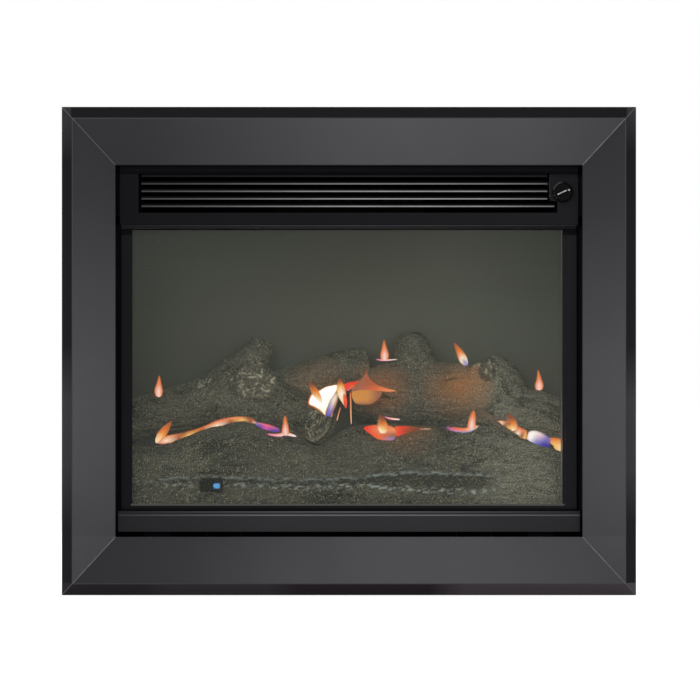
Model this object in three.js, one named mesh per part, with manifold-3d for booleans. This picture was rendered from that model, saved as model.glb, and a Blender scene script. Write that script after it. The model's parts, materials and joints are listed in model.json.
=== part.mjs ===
// Landscape inset gas fire: a casing let into the wall, a log-effect fuel bed behind glass, a warm-air louvre
// with its control on top, and a mitred frame over the edge of the wall opening.
// Millimetres, +Z up, front towards -Y, origin in the middle of the casing's underside.

import * as THREE from 'three';
import { mergeVertices } from 'three/addons/utils/BufferGeometryUtils.js';
import Module from 'manifold-3d';

const wasm = await Module();
wasm.setup();

// ---- driving dimensions ----

const fit = 0.3; // gap between pieces that touch

// frame over the edge of the wall opening
const sightWidth = 559; // clear opening inside the frame
const sightHeight = 445;
const sightRise = 15; // foot of the clear opening above the casing's underside
const uprightRail = 64.5;
const levelRail = 70;
const trimDepth = 21.7;
const trimBevel = 13; // chamfer of the top and bottom rails, as deep as it is wide
const trimSheet = 1.5;
const trimSetback = 0.7; // inner edge stops this far in front of the fascia
const mitreGap = 0.25;
const keyInset = 16; // corner keys, from the outer edge of the level rails
const keyLeg = 107;
const keyWidth = 40;
const keyThickness = 3;
const magnetRadius = 9;
const magnetHeight = 4;
const magnetStem = 5;
const magnetFromEnd = 95; // along the upright rail, from the frame's outer corner

// casing, let into the wall behind the frame
const casingOverlap = 15.5; // how far each side of the casing lies behind the frame
const casingHeadroom = 15; // casing above the clear opening
const casingDepth = 200;
const casingSheet = 1.2;
const wallFlange = 20; // flange that lies on the face of the wall
const casingLip = 15; // folded edges that hold the back sheet
const panelSheet = 1.5; // sheet of the firebox, fascia and window frame

// fascia with the louvre
const fasciaGap = 5; // between the fascia's ends and the frame
const fasciaHeight = 77.5;
const fasciaTuck = 6; // top edge hidden behind the frame
const fasciaProud = 8; // in front of the casing
const fasciaReturn = 11.5;
const louvreLeftMargin = 22.5; // from the fascia's left end
const louvreRightMargin = 33.5;
const louvreLowMargin = 25; // the lowest gap runs on under the control
const louvreFootMargin = 14.7; // from the fascia's foot
const louvreStepHeight = 13.8;
const louvreTopMargin = 1.8; // above the highest blade
const bladeCount = 5;
const bladePitch = 9;
const bladeNose = 2.2;
const bladeNoseDepth = 3;
const bladeDepth = 15;
const bladeRise = 2.4;
const bladeSheet = 1;
const bladeSetback = 0.8;
const combInset = 1.7; // combs stand inside the ends of the opening
const combDepth = 16;

// control
const knobMargin = 18.4; // from the fascia's right end
const knobRise = 39.3; // above the fascia's foot
const knobRadius = 10.5;
const knobProud = 9.5; // face of the knob in front of the fascia
const knobBody = 13.5;
const knobTravel = 4;
const knobFaceWall = 2;
const gripLength = 15.7;
const gripWidth = 3.2;
const gripHeight = 3.5;
const gripAngle = 24.8; // degrees up to the right, with the fire lit
const bezelWidth = 1.3;
const bezelHeight = 1.7;
const knobGap = 0.6;
const spindleRadius = 3;
const spindleSink = 12;

// gas valve and pipes
const valveWidth = 30;
const valveDepth = 40;
const valveHeight = 42;
const valveSetback = 30; // behind the fascia
const valveBracketFoot = 6;
const bossRadius = 8;
const bossHeight = 4;
const portRadius = 6.5;
const portHeight = 6;
const gasPipeRadius = 4;
const pilotPipeRadius = 2;
const pipeBend = 12;
const feedPortDrop = 8; // ports of the valve, from its middle
const inletPortRise = 10;
const pilotPortShift = 9;
const pilotPortRise = 1;
const inletPipeY = 60;
const inletDrop = 25; // below the casing
const pipeHole = 1; // clearance of a pipe in a sheet

// window
const windowGap = 6.5; // between the window's sides and the frame
const windowSlot = 0.5; // clearance to the fascia above and the fret below
const windowStile = 13.2;
const windowTopRail = 3.6;
const windowFootRail = 6.6;
const windowFrameDepth = 10;
const glassThickness = 4;
const glassEdge = 0.6; // clearance round the pane
const glassLip = 7;
const sealWidth = 3.9;
const sealThickness = 4.1;
const tongueLength = 12;
const tongueHeight = 50;
const clipHeight = 40;
const clipSheet = 1.2;
const clipRoom = 2; // behind the tongue

// fret under the window
const fretGap = 2.9; // between the fret's ends and the frame
const airSlot = 6.1; // inlet under the fret
const fretHeight = 24.7;
const fretProud = 12; // in front of the casing
const fretSlope = 3.6;
const fretFlange = 6.9;
const fretReturn = 10;
const fretFootWidth = 30;
const fretFootX = 230;
const fretFootDrop = 12; // the feet reach this far below the casing's underside

// firebox
const sideDuct = 15.3; // room for the pipes between the firebox and the casing
const fireboxHeadroom = 7; // roof above the window
const rearDuct = 27.3; // between the back panel and the back sheet
const trayRise = 22.7; // tray above the casing's floor
const mouthOverlap = 10.5; // firebox front behind the window's sides
const mouthFootOverlap = 3.8;
const mouthTopOverlap = 1.5;
const supportX = 150;
const supportWidth = 40;
const supportFoot = 12;
const catalystWidth = 180;
const catalystDepth = 62;
const catalystY = 20;
const catalystDrop = 5; // under the roof
const catalystHeight = 30;
const catalystLip = 4;
const catalystLipHeight = 2;

// burner and pilot
const burnerY = 44;
const burnerRadius = 11;
const burnerInset = 85; // from the firebox sides
const burnerWall = 1.5;
const mixerLength = 40; // open mouth of the burner tube
const injectorRadius = 5;
const injectorLength = 14;
const injectorSink = 4;
const pilotX = -157;
const pilotY = -52;
const pilotTop = 74;
const probeSpacing = 8.5; // thermocouple and electrode beside the pilot burner
const pilotShelf = 50;
const pilotShelfLip = 8;
const pilotShelfDepth = 28;
const pilotPipeGap = 4.1; // in front of the ember bed
const pilotPipeRise = 4.7;

// fuel bed
const logGap = 5; // between the logs' ends and the firebox sides
const bedInset = 17;
const bedDepth = 42.4;
const bedTop = 106; // above the tray
const bedChannel = 26; // room for the burner under the bed
const bedChannelHeight = 26;
const bedChamfer = 8;
const bedBackGap = 1;
const logSides = 14;
const frontLogY = -32;
const frontLogHalf = 50;
const cleftLength = 430; // weathered split along the front log
const cleftHeight = 18;
const cleftDepth = 12;
const cleftShift = -25;
const cleftRise = 54;
const pilotRoomMargin = 6;
const pilotSightHeight = 13.5;

// ---- planes and faces worked out from them ----

const trimWidth = sightWidth + 2 * uprightRail;
const trimHeight = sightHeight + 2 * levelRail;
const casingWidth = sightWidth + 2 * casingOverlap;
const casingHeight = sightRise + sightHeight + casingHeadroom;
const casingFront = -casingDepth / 2;
const casingBack = casingDepth / 2;
const casingInside = casingWidth / 2 - casingSheet;
const floorTop = casingSheet;
const trimBack = casingFront - fit;
const trimFront = trimBack - trimDepth;
const trimMiddle = sightRise + sightHeight / 2;
const fasciaWidth = sightWidth - 2 * fasciaGap;
const fasciaTop = sightRise + sightHeight + fasciaTuck;
const fasciaFoot = fasciaTop - fasciaHeight;
const fasciaFront = casingFront - fasciaProud;
const fasciaRear = fasciaFront + panelSheet;
const louvreLeft = -fasciaWidth / 2 + louvreLeftMargin;
const louvreRight = fasciaWidth / 2 - louvreRightMargin;
const louvreLowRight = fasciaWidth / 2 - louvreLowMargin;
const louvreFoot = fasciaFoot + louvreFootMargin;
const louvreStep = louvreFoot + louvreStepHeight;
const lowestBlade = louvreFoot + bladePitch;
const louvreTop = louvreFoot + bladeCount * bladePitch + louvreTopMargin;
const knobX = fasciaWidth / 2 - knobMargin;
const knobZ = fasciaFoot + knobRise;
const combFront = fasciaRear + fit;
const fretWidth = sightWidth - 2 * fretGap;
const fretFoot = sightRise + airSlot;
const fretTop = fretFoot + fretHeight;
const windowWidth = sightWidth - 2 * windowGap;
const windowFoot = fretTop + windowSlot;
const windowTop = fasciaFoot - windowSlot;
const glassFront = casingFront + panelSheet + fit;
const glassRear = glassFront + glassThickness;
const sealFront = glassRear + fit;
const sealRear = sealFront + sealThickness;
const mouthFront = sealRear + fit;
const mouthRear = mouthFront + panelSheet;
const mouthWidth = windowWidth - 2 * mouthOverlap;
const mouthFoot = windowFoot + mouthFootOverlap;
const mouthTop = windowTop - mouthTopOverlap;
const fireboxWidth = 2 * (casingInside - sideDuct - panelSheet);
const fireboxTop = windowTop + fireboxHeadroom;
const fireboxBackY = casingBack - casingSheet - rearDuct - panelSheet;
const trayTop = floorTop + fit + trayRise + fit + panelSheet;
const fireboxFloor = trayTop + fit;
const roofTop = fireboxTop + fit + panelSheet;
const sideGapX = (fireboxWidth / 2 + panelSheet + casingInside) / 2;
const valveFront = fasciaFront + valveSetback;
const valveRear = valveFront + valveDepth;
const portFace = valveRear + portHeight;
const burnerZ = fireboxFloor + burnerRadius;
const burnerLength = fireboxWidth - 2 * burnerInset;
const bedRear = fireboxBackY - fit - bedBackGap;
const bedFront = bedRear - bedDepth;
const pilotPipeY = bedFront - pilotPipeGap;
const pilotPipeZ = fireboxFloor + pilotPipeRise;
const logEnd = fireboxWidth / 2 - logGap; // logs stop here on either side
const logScale = logEnd / 272; // the log set is drawn for a half length of 272

// ---- materials ----

function finish(color, roughness, metalness) {
  return new THREE.MeshStandardMaterial({ color, roughness, metalness });
}

const graphitePaint = finish(0x47464b, 0.45, 0.3);
const blackPaint = finish(0x1b1b1d, 0.5, 0.3);
const bladePaint = finish(0x5a5a5e, 0.35, 0.6);
const galvanised = finish(0x8d9193, 0.45, 0.9);
const linerPaint = finish(0x46493f, 0.8, 0.1);
const magnetPlating = finish(0x9a9a9c, 0.3, 1);
const valveAlloy = finish(0xa3a5a6, 0.45, 0.9);
const brass = finish(0xb08d48, 0.35, 1);
const brightSteel = finish(0x9c9da0, 0.3, 1);
const blackPlastic = finish(0x151517, 0.4, 0);
const glass = finish(0x90988f, 0.05, 0);
const sealFibre = finish(0x6b6a64, 0.95, 0);
const catalyst = finish(0xb9b0a0, 0.9, 0);
const whiteCeramic = finish(0xd8d4c8, 0.6, 0);
const logCeramic = finish(0x49483f, 0.95, 0);
const emberCeramic = finish(0x3c3a34, 0.95, 0);

// ---- solids ----

function box(x0, x1, y0, y1, z0, z1) {
  const geometry = new THREE.BoxGeometry(x1 - x0, y1 - y0, z1 - z0);
  return geometry.translate((x0 + x1) / 2, (y0 + y1) / 2, (z0 + z1) / 2);
}

function extrude(points, depth, holes = []) {
  const shape = new THREE.Shape(points.map(([a, b]) => new THREE.Vector2(a, b)));
  shape.holes.push(...holes);
  return new THREE.ExtrudeGeometry(shape, { depth, bevelEnabled: false, curveSegments: 10 });
}

// outline given as (y, z), drawn out along X
function alongX(points, x0, x1) {
  const turn = new THREE.Matrix4().set(0, 0, 1, x0, 1, 0, 0, 0, 0, 1, 0, 0, 0, 0, 0, 1);
  return extrude(points, x1 - x0).applyMatrix4(turn);
}

// outline given as (x, y), drawn up along Z
function alongZ(points, z0, z1) {
  return extrude(points, z1 - z0).translate(0, 0, z0);
}

// outline given as (x, z), drawn back along Y
function alongY(points, y0, y1, holes = []) {
  const turn = new THREE.Matrix4().set(1, 0, 0, 0, 0, 0, -1, y1, 0, 1, 0, 0, 0, 0, 0, 1);
  return extrude(points, y1 - y0, holes).applyMatrix4(turn);
}

// outline of a folded sheet: the path is one face, and the wall lies to its left
function folded(path, thickness) {
  const point = path.map(([a, b]) => new THREE.Vector2(a, b));
  const leftOf = (from, to) => {
    const run = to.clone().sub(from).normalize();
    return new THREE.Vector2(-run.y, run.x);
  };
  const other = point.map((at, i) => {
    const before = leftOf(point[Math.max(i - 1, 0)], point[Math.max(i, 1)]);
    const after = leftOf(point[Math.min(i, point.length - 2)], point[Math.min(i + 1, point.length - 1)]);
    const mitre = before.clone().add(after).divideScalar(1 + before.dot(after));
    return at.clone().addScaledVector(mitre, thickness);
  });
  return [...point, ...other.reverse()].map((at) => [at.x, at.y]);
}

// turned piece on an axis along Y, from (radius, y) points that start and end on the axis or close a ring
function turnedAlongY(profile, x, z, segments = 24) {
  const points = profile.map(([radius, y]) => new THREE.Vector2(radius, y));
  return new THREE.LatheGeometry(points, segments).translate(x, 0, z);
}

// turned piece on an upright axis, from (radius, z) points
function turnedAlongZ(profile, x, y, segments = 16) {
  const points = profile.map(([radius, z]) => new THREE.Vector2(radius, z));
  return new THREE.LatheGeometry(points, segments).rotateX(Math.PI / 2).translate(x, y, 0);
}

function solid(geometry) {
  const bare = new THREE.BufferGeometry();
  bare.setAttribute('position', geometry.getAttribute('position'));
  bare.setIndex(geometry.getIndex());
  const welded = mergeVertices(bare, 1e-4);
  const vertProperties = new Float32Array(welded.getAttribute('position').array);
  const corners = Array.from(welded.getIndex().array);
  const triVerts = [];
  for (let i = 0; i < corners.length; i += 3) {
    const [a, b, c] = corners.slice(i, i + 3);
    if (a !== b && b !== c && c !== a) {
      triVerts.push(a, b, c);
    }
  }
  return new wasm.Manifold(new wasm.Mesh({ numProp: 3, vertProperties, triVerts: new Uint32Array(triVerts) }));
}

function geometryOf(body) {
  const mesh = body.getMesh();
  const geometry = new THREE.BufferGeometry();
  geometry.setAttribute('position', new THREE.BufferAttribute(new Float32Array(mesh.vertProperties), 3));
  geometry.setIndex(Array.from(mesh.triVerts));
  return geometry;
}

function join(...geometries) {
  return geometryOf(geometries.map(solid).reduce((whole, next) => whole.add(next)));
}

function cut(geometry, ...tools) {
  return geometryOf(tools.map(solid).reduce((left, tool) => left.subtract(tool), solid(geometry)));
}

// what is cut off loose beside the main body falls away
function mainBody(geometry) {
  const bodies = solid(geometry).decompose();
  return geometryOf(bodies.reduce((best, next) => (next.volume() > best.volume() ? next : best)));
}

// closed skin through a row of rings, with a fan over each end
function loft(rings) {
  const sides = rings[0].length;
  const points = rings.flat();
  const index = [];
  for (let ring = 0; ring < rings.length - 1; ring += 1) {
    for (let side = 0; side < sides; side += 1) {
      const a = ring * sides + side;
      const b = ring * sides + ((side + 1) % sides);
      index.push(a, b, b + sides, a, b + sides, a + sides);
    }
  }
  const capEnd = (ring, flip) => {
    const centre = points.length;
    points.push(middleOf(rings[ring]));
    for (let side = 0; side < sides; side += 1) {
      const a = ring * sides + side;
      const b = ring * sides + ((side + 1) % sides);
      index.push(centre, ...(flip ? [b, a] : [a, b]));
    }
  };
  capEnd(0, true);
  capEnd(rings.length - 1, false);
  const geometry = new THREE.BufferGeometry();
  geometry.setFromPoints(points);
  geometry.setIndex(index);
  return geometry;
}

function middleOf(ring) {
  const sum = ring.reduce((total, point) => total.add(point), new THREE.Vector3());
  return sum.divideScalar(ring.length);
}

// rings square to a path, without twist; radiusAt gives the radius from the station and the angle
function ringsAlong(path, sides, radiusAt) {
  let side = null;
  return path.map((centre, station) => {
    const from = path[Math.max(station - 1, 0)];
    const to = path[Math.min(station + 1, path.length - 1)];
    const run = to.clone().sub(from).normalize();
    const hint = side ?? new THREE.Vector3(Math.abs(run.y) > 0.8 ? 1 : 0, Math.abs(run.y) > 0.8 ? 0 : 1, 0);
    side = hint.clone().addScaledVector(run, -hint.dot(run)).normalize();
    const up = run.clone().cross(side);
    return Array.from({ length: sides }, (_, i) => {
      const angle = (2 * Math.PI * i) / sides;
      const radius = radiusAt(station, angle);
      const out = side.clone().multiplyScalar(Math.cos(angle)).addScaledVector(up, Math.sin(angle));
      return centre.clone().addScaledVector(out, radius);
    });
  });
}

// pipe through corner points, each corner bent to a curve
function pipe(corners, radius, sides = 8) {
  const at = corners.map(([x, y, z]) => new THREE.Vector3(x, y, z));
  const path = at.flatMap((corner, i) => {
    if (i === 0 || i === at.length - 1) {
      return [corner];
    }
    const into = at[i - 1].clone().sub(corner).setLength(pipeBend).add(corner);
    const away = at[i + 1].clone().sub(corner).setLength(pipeBend).add(corner);
    return new THREE.QuadraticBezierCurve3(into, corner, away).getPoints(4);
  });
  return loft(ringsAlong(path, sides, () => radius));
}

// ---- scene graph helpers ----

function piece(name, geometry, material) {
  const mesh = new THREE.Mesh(geometry, material);
  mesh.name = name;
  return mesh;
}

function assembly(...children) {
  const group = new THREE.Group();
  group.add(...children);
  return group;
}

const sideNames = [['left', -1], ['right', 1]];

// mirrors an outline whose first coordinate is x, keeping the wall on the same side of its path
function onSide(side, path) {
  return side < 0 ? path : path.map(([x, other]) => [-x, other]).reverse();
}

// ---- casing ----

function casing() {
  const lipFace = casingBack - casingSheet - fit - casingSheet;
  const floorPath = [
    [lipFace, floorTop + casingLip],
    [lipFace, floorTop],
    [casingFront, floorTop],
    [casingFront, -wallFlange],
  ];
  const ceilingPath = floorPath.map(([y, z]) => [y, casingHeight - z]).reverse();
  const inletHole = turnedAlongZ(
    [[0, -casingSheet], [gasPipeRadius + pipeHole, -casingSheet], [gasPipeRadius + pipeHole, 5], [0, 5]],
    sideGapX,
    inletPipeY,
  );
  const half = casingWidth / 2;
  const base = cut(alongX(folded(floorPath, casingSheet), -half, half), inletHole);
  const top = alongX(folded(ceilingPath, casingSheet), -half, half);
  const back = box(-half, half, casingBack - casingSheet, casingBack, 0, casingHeight);
  const webRear = lipFace - fit - casingSheet;
  const webPath = [
    [-half - wallFlange, casingFront],
    [-casingInside, casingFront],
    [-casingInside, webRear],
    [-casingInside + casingLip, webRear],
  ];
  const webs = sideNames.map(([name, side]) => {
    const outline = folded(onSide(side, webPath), casingSheet);
    const web = alongZ(outline, floorTop + fit, casingHeight - casingSheet - fit);
    return piece(`casing_${name}`, web, galvanised);
  });
  return assembly(
    piece('casing_base', base, galvanised),
    piece('casing_top', top, galvanised),
    piece('casing_back', back, galvanised),
    ...webs,
  );
}

// ---- frame over the wall opening ----

// one mitred rail, its outer edge up and its length along X
function trimRail(length, railWidth, mitreRun) {
  const facePath = [
    [levelRail, fasciaFront - trimSetback],
    [levelRail, trimFront],
    [trimBevel, trimFront],
    [0, trimFront + trimBevel],
    [0, trimBack],
  ];
  const outline = folded(facePath.reverse(), trimSheet);
  const rail = extrude(outline, 1);
  const position = rail.getAttribute('position');
  for (let i = 0; i < position.count; i += 1) {
    const inward = (position.getX(i) / levelRail) * railWidth;
    const end = position.getZ(i) > 0.5 ? 1 : -1;
    const reach = length / 2 - mitreGap - (inward / railWidth) * mitreRun;
    position.setXYZ(i, end * reach, position.getY(i), -inward);
  }
  return rail;
}

function trimFrame() {
  const level = trimRail(trimWidth, levelRail, uprightRail);
  const upright = trimRail(trimHeight, uprightRail, levelRail);
  const rails = [
    ['trim_rail_top', level, 0, 0, trimHeight / 2],
    ['trim_rail_right', upright, Math.PI / 2, trimWidth / 2, 0],
    ['trim_rail_bottom', level, Math.PI, 0, -trimHeight / 2],
    ['trim_rail_left', upright, -Math.PI / 2, -trimWidth / 2, 0],
  ].map(([name, geometry, turn, x, z]) => {
    const rail = piece(name, geometry, graphitePaint);
    rail.rotation.y = turn;
    rail.position.set(x, 0, trimMiddle + z);
    return rail;
  });
  return assembly(...rails, ...trimFixings());
}

// corner keys join the rails, and a magnet on each holds the frame on the casing's flange
function trimFixings() {
  const keyFront = trimFront + trimSheet + fit;
  const keyRear = keyFront + keyThickness;
  const magnetX = casingWidth / 2 + wallFlange / 2;
  const keyOuterX = magnetX + keyWidth / 2;
  const fixings = [];
  for (const [vertical, up] of [['lower', -1], ['upper', 1]]) {
    for (const [name, side] of sideNames) {
      const cornerX = side * keyOuterX;
      const cornerZ = trimMiddle + up * (trimHeight / 2 - keyInset);
      const legs = [
        [0, 0],
        [keyLeg, 0],
        [keyLeg, keyWidth],
        [keyWidth, keyWidth],
        [keyWidth, keyLeg],
        [0, keyLeg],
      ].map(([a, b]) => [cornerX - side * a, cornerZ - up * b]);
      const key = alongY(legs, keyFront, keyRear);
      const magnetZ = trimMiddle + up * (trimHeight / 2 - magnetFromEnd);
      const post = [
        [0, keyRear + fit],
        [magnetStem, keyRear + fit],
        [magnetStem, trimBack - magnetHeight],
        [magnetRadius, trimBack - magnetHeight],
        [magnetRadius, trimBack],
        [0, trimBack],
      ];
      const magnet = turnedAlongY(post, side * magnetX, magnetZ, 16);
      fixings.push(piece(`trim_key_${vertical}_${name}`, key, galvanised));
      fixings.push(piece(`trim_magnet_${vertical}_${name}`, magnet, magnetPlating));
    }
  }
  return fixings;
}

// ---- fascia and louvre ----

function fascia() {
  const half = fasciaWidth / 2;
  const opening = new THREE.Path([
    new THREE.Vector2(louvreLeft, louvreFoot),
    new THREE.Vector2(louvreLowRight, louvreFoot),
    new THREE.Vector2(louvreLowRight, louvreStep),
    new THREE.Vector2(louvreRight, louvreStep),
    new THREE.Vector2(louvreRight, louvreTop),
    new THREE.Vector2(louvreLeft, louvreTop),
  ]);
  const knobHole = new THREE.Path().absarc(knobX, knobZ, knobRadius + knobGap, 0, 2 * Math.PI);
  const outline = [
    [-half, fasciaFoot],
    [half, fasciaFoot],
    [half, fasciaTop],
    [-half, fasciaTop],
  ];
  const face = alongY(outline, fasciaFront, fasciaRear, [opening, knobHole]);
  const returnEnd = fasciaFront + fasciaReturn + panelSheet;
  const returns = [
    box(-half, half, fasciaFront + 0.5, returnEnd, fasciaTop - panelSheet, fasciaTop),
    box(-half, half, fasciaFront + 0.5, casingFront, fasciaFoot, fasciaFoot + panelSheet),
  ];
  for (const [, side] of sideNames) {
    const edges = [side * half, side * (half - panelSheet)].sort((a, b) => a - b);
    const lug = [side * half - side * panelSheet, side * (casingInside - fit)].sort((a, b) => a - b);
    const lugFoot = roofTop + 2;
    returns.push(box(...edges, fasciaFront + 0.5, returnEnd, fasciaFoot, fasciaTop));
    returns.push(box(...lug, returnEnd - panelSheet, returnEnd, lugFoot, fasciaTop));
  }
  return piece('fascia_panel', join(face, ...returns), blackPaint);
}

function louvre() {
  const noseHalf = bladeNose / 2;
  const webHalf = bladeSheet / 2;
  const bladeFront = fasciaFront + bladeSetback;
  const section = [
    [0.6, -noseHalf],
    [bladeNoseDepth, -noseHalf],
    [bladeNoseDepth, -webHalf],
    [bladeDepth, bladeRise - webHalf],
    [bladeDepth, bladeRise + webHalf],
    [bladeNoseDepth, webHalf + 0.1],
    [bladeNoseDepth, noseHalf],
    [0.6, noseHalf],
    [0, 0.5],
    [0, -0.5],
  ];
  const leftEnd = louvreLeft + combInset + panelSheet + fit;
  const parts = [];
  for (let i = 0; i < bladeCount; i += 1) {
    const height = lowestBlade + i * bladePitch;
    const edge = height < louvreStep ? louvreLowRight : louvreRight;
    const rightEnd = edge - combInset - panelSheet - fit;
    const blade = piece(`louvre_blade_${i + 1}`, alongX(section, leftEnd, rightEnd), bladePaint);
    blade.position.set(0, bladeFront, height);
    parts.push(blade);
  }
  const combBack = combFront + combDepth;
  const leftComb = box(
    louvreLeft + combInset, louvreLeft + combInset + panelSheet, combFront, combBack, louvreFoot, louvreTop,
  );
  const combX = louvreRight - combInset - panelSheet;
  const combLowX = louvreLowRight - combInset - panelSheet;
  const rightPath = [
    [combX, louvreTop],
    [combX, louvreStep],
    [combLowX, louvreStep],
    [combLowX, louvreFoot],
  ];
  const rightComb = alongY(folded(rightPath, panelSheet), combFront, combBack);
  parts.push(piece('louvre_comb_left', leftComb, blackPaint));
  parts.push(piece('louvre_comb_right', rightComb, blackPaint));
  return assembly(...parts);
}

// ---- control, valve and pipes ----

function control() {
  const hole = knobRadius + knobGap;
  const bezelFront = fasciaFront - fit - bezelHeight;
  const bezelProfile = [
    [hole, fasciaFront - fit],
    [hole, bezelFront],
    [hole + bezelWidth, bezelFront],
    [hole + bezelWidth, fasciaFront - fit],
    [hole, fasciaFront - fit],
  ];
  const bezel = turnedAlongY(bezelProfile, knobX, knobZ, 32);
  const face = fasciaFront - knobProud;
  const rear = face + knobBody;
  const boreEnd = face + knobFaceWall;
  const skin = [
    [0, face],
    [knobRadius - 1, face],
    [knobRadius, face + 1],
    [knobRadius, rear],
    [spindleRadius + fit, rear],
    [spindleRadius + fit, boreEnd],
    [0, boreEnd],
  ];
  const grip = box(
    -gripLength / 2, gripLength / 2, face - gripHeight, face + 0.5, -gripWidth / 2, gripWidth / 2,
  );
  grip.rotateY(-THREE.MathUtils.degToRad(gripAngle)).translate(knobX, 0, knobZ);
  const knob = join(turnedAlongY(skin, knobX, knobZ, 32), grip);
  const spindleFront = boreEnd + knobTravel + fit;
  const shaft = [
    [0, spindleFront],
    [spindleRadius, spindleFront],
    [spindleRadius, valveFront + spindleSink],
    [0, valveFront + spindleSink],
  ];
  const spindle = turnedAlongY(shaft, knobX, knobZ, 20);
  return assembly(
    piece('knob_bezel', bezel, blackPaint),
    piece('control_knob', knob, blackPlastic),
    piece('valve_spindle', spindle, brightSteel),
  );
}

function gasValve() {
  const x0 = knobX - valveWidth / 2;
  const x1 = knobX + valveWidth / 2;
  const z0 = knobZ - valveHeight / 2;
  const z1 = knobZ + valveHeight / 2;
  const disc = (radius, y0, y1, x, z) => turnedAlongY([[0, y0], [radius, y0], [radius, y1], [0, y1]], x, z, 16);
  const body = join(
    box(x0, x1, valveFront, valveRear, z0, z1),
    disc(bossRadius, valveFront - bossHeight, valveFront + 1, knobX, knobZ),
    disc(portRadius, valveRear - 1, portFace, knobX, knobZ - feedPortDrop),
    disc(portRadius, valveRear - 1, portFace, knobX, knobZ + inletPortRise),
    disc(portRadius / 2, valveRear - 1, portFace, knobX - pilotPortShift, knobZ + pilotPortRise),
  );
  const bore = disc(spindleRadius + fit, valveFront - bossHeight - 1, valveFront + spindleSink + fit, knobX, knobZ);
  const bracketTop = z0 - fit;
  const foot = roofTop + fit;
  const hat = [
    [x0, foot],
    [x0 + valveBracketFoot, foot],
    [x0 + valveBracketFoot, bracketTop - panelSheet],
    [x1 - valveBracketFoot, bracketTop - panelSheet],
    [x1 - valveBracketFoot, foot],
    [x1, foot],
  ];
  const bracket = alongY(folded(hat, panelSheet), valveFront + 3, valveRear - 3);
  return assembly(
    piece('gas_valve', cut(body, bore), valveAlloy),
    piece('valve_bracket', bracket, galvanised),
  );
}

function pipes() {
  const start = portFace + fit;
  const injectorEnd = burnerLength / 2 + injectorLength + fit;
  const feed = pipe([
    [knobX, start, knobZ - feedPortDrop],
    [knobX, burnerY, knobZ - feedPortDrop],
    [sideGapX, burnerY, knobZ - feedPortDrop],
    [sideGapX, burnerY, burnerZ],
    [injectorEnd, burnerY, burnerZ],
  ], gasPipeRadius);
  const inlet = pipe([
    [knobX, start, knobZ + inletPortRise],
    [knobX, inletPipeY, knobZ + inletPortRise],
    [sideGapX, inletPipeY, knobZ + inletPortRise],
    [sideGapX, inletPipeY, -inletDrop],
  ], gasPipeRadius);
  const pilot = pipe([
    [knobX - pilotPortShift, start, knobZ + pilotPortRise],
    [knobX - pilotPortShift, pilotPipeY, knobZ + pilotPortRise],
    [sideGapX, pilotPipeY, knobZ + pilotPortRise],
    [sideGapX, pilotPipeY, pilotPipeZ],
    [pilotX, pilotPipeY, pilotPipeZ],
    [pilotX, pilotY, pilotPipeZ],
    [pilotX, pilotY, pilotShelf - fit - 5],
  ], pilotPipeRadius, 6);
  return assembly(
    piece('burner_feed_pipe', feed, brass),
    piece('gas_inlet_pipe', inlet, brass),
    piece('pilot_pipe', pilot, brightSteel),
  );
}

// ---- firebox ----

function firebox() {
  const half = fireboxWidth / 2;
  const sideFoot = trayTop + fit;
  const mouthHalf = mouthWidth / 2;
  const tongueX = windowWidth / 2 - panelSheet;
  const slots = sideNames.map(([, side]) => {
    const span = [side * (tongueX - panelSheet - 1), side * (tongueX + 1)].sort((a, b) => a - b);
    const rise = clipMiddle() - tongueHeight / 2;
    return box(...span, mouthFront - 1, mouthRear + 1, rise - 2, rise + tongueHeight + 2);
  });
  const front = cut(
    box(-casingInside + fit, casingInside - fit, mouthFront, mouthRear, floorTop + fit + trayRise, roofTop),
    box(-mouthHalf, mouthHalf, mouthFront - 1, mouthRear + 1, mouthFoot, mouthTop),
    ...slots,
  );
  const sideFront = mouthRear + fit;
  const sideRear = fireboxBackY - fit;
  const left = box(-half - panelSheet, -half, sideFront, sideRear, sideFoot, fireboxTop);
  const holeX = half + panelSheet / 2;
  const hole = (radius, y, z) => {
    const disc = new THREE.CylinderGeometry(radius, radius, 3 * panelSheet, 16);
    return disc.rotateZ(Math.PI / 2).translate(holeX, y, z);
  };
  const right = cut(
    box(half, half + panelSheet, sideFront, sideRear, sideFoot, fireboxTop),
    hole(gasPipeRadius + pipeHole, burnerY, burnerZ),
    hole(pilotPipeRadius + pipeHole, pilotPipeY, pilotPipeZ),
  );
  const reach = half + panelSheet;
  const back = box(-reach, reach, fireboxBackY, fireboxBackY + panelSheet, sideFoot, fireboxTop);
  const tray = box(-reach, reach, sideFront, fireboxBackY + panelSheet, trayTop - panelSheet, trayTop);
  const port = box(
    -catalystWidth / 2 - fit, catalystWidth / 2 + fit,
    catalystY - catalystDepth / 2 - fit, catalystY + catalystDepth / 2 + fit,
    fireboxTop - 5, roofTop + 5,
  );
  const roof = cut(
    box(-reach, reach, sideFront, fireboxBackY + panelSheet, roofTop - panelSheet, roofTop),
    port,
  );
  return assembly(
    piece('firebox_front', front, blackPaint),
    piece('firebox_side_left', left, linerPaint),
    piece('firebox_side_right', right, linerPaint),
    piece('firebox_back', back, linerPaint),
    piece('firebox_roof', roof, linerPaint),
    piece('burner_tray', tray, galvanised),
    ...traySupports(),
    piece('catalyst_block', catalystBlock(), catalyst),
  );
}

function traySupports() {
  const foot = floorTop + fit;
  const wall = supportWidth / 2;
  return sideNames.map(([name, side]) => {
    const hat = [
      [-wall - supportFoot, foot],
      [-wall, foot],
      [-wall, foot + trayRise - panelSheet],
      [wall, foot + trayRise - panelSheet],
      [wall, foot],
      [wall + supportFoot, foot],
    ];
    const rail = alongY(folded(hat, panelSheet), mouthRear + 3, fireboxBackY - 4);
    const support = piece(`tray_support_${name}`, rail, galvanised);
    support.position.x = side * supportX;
    return support;
  });
}

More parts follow.
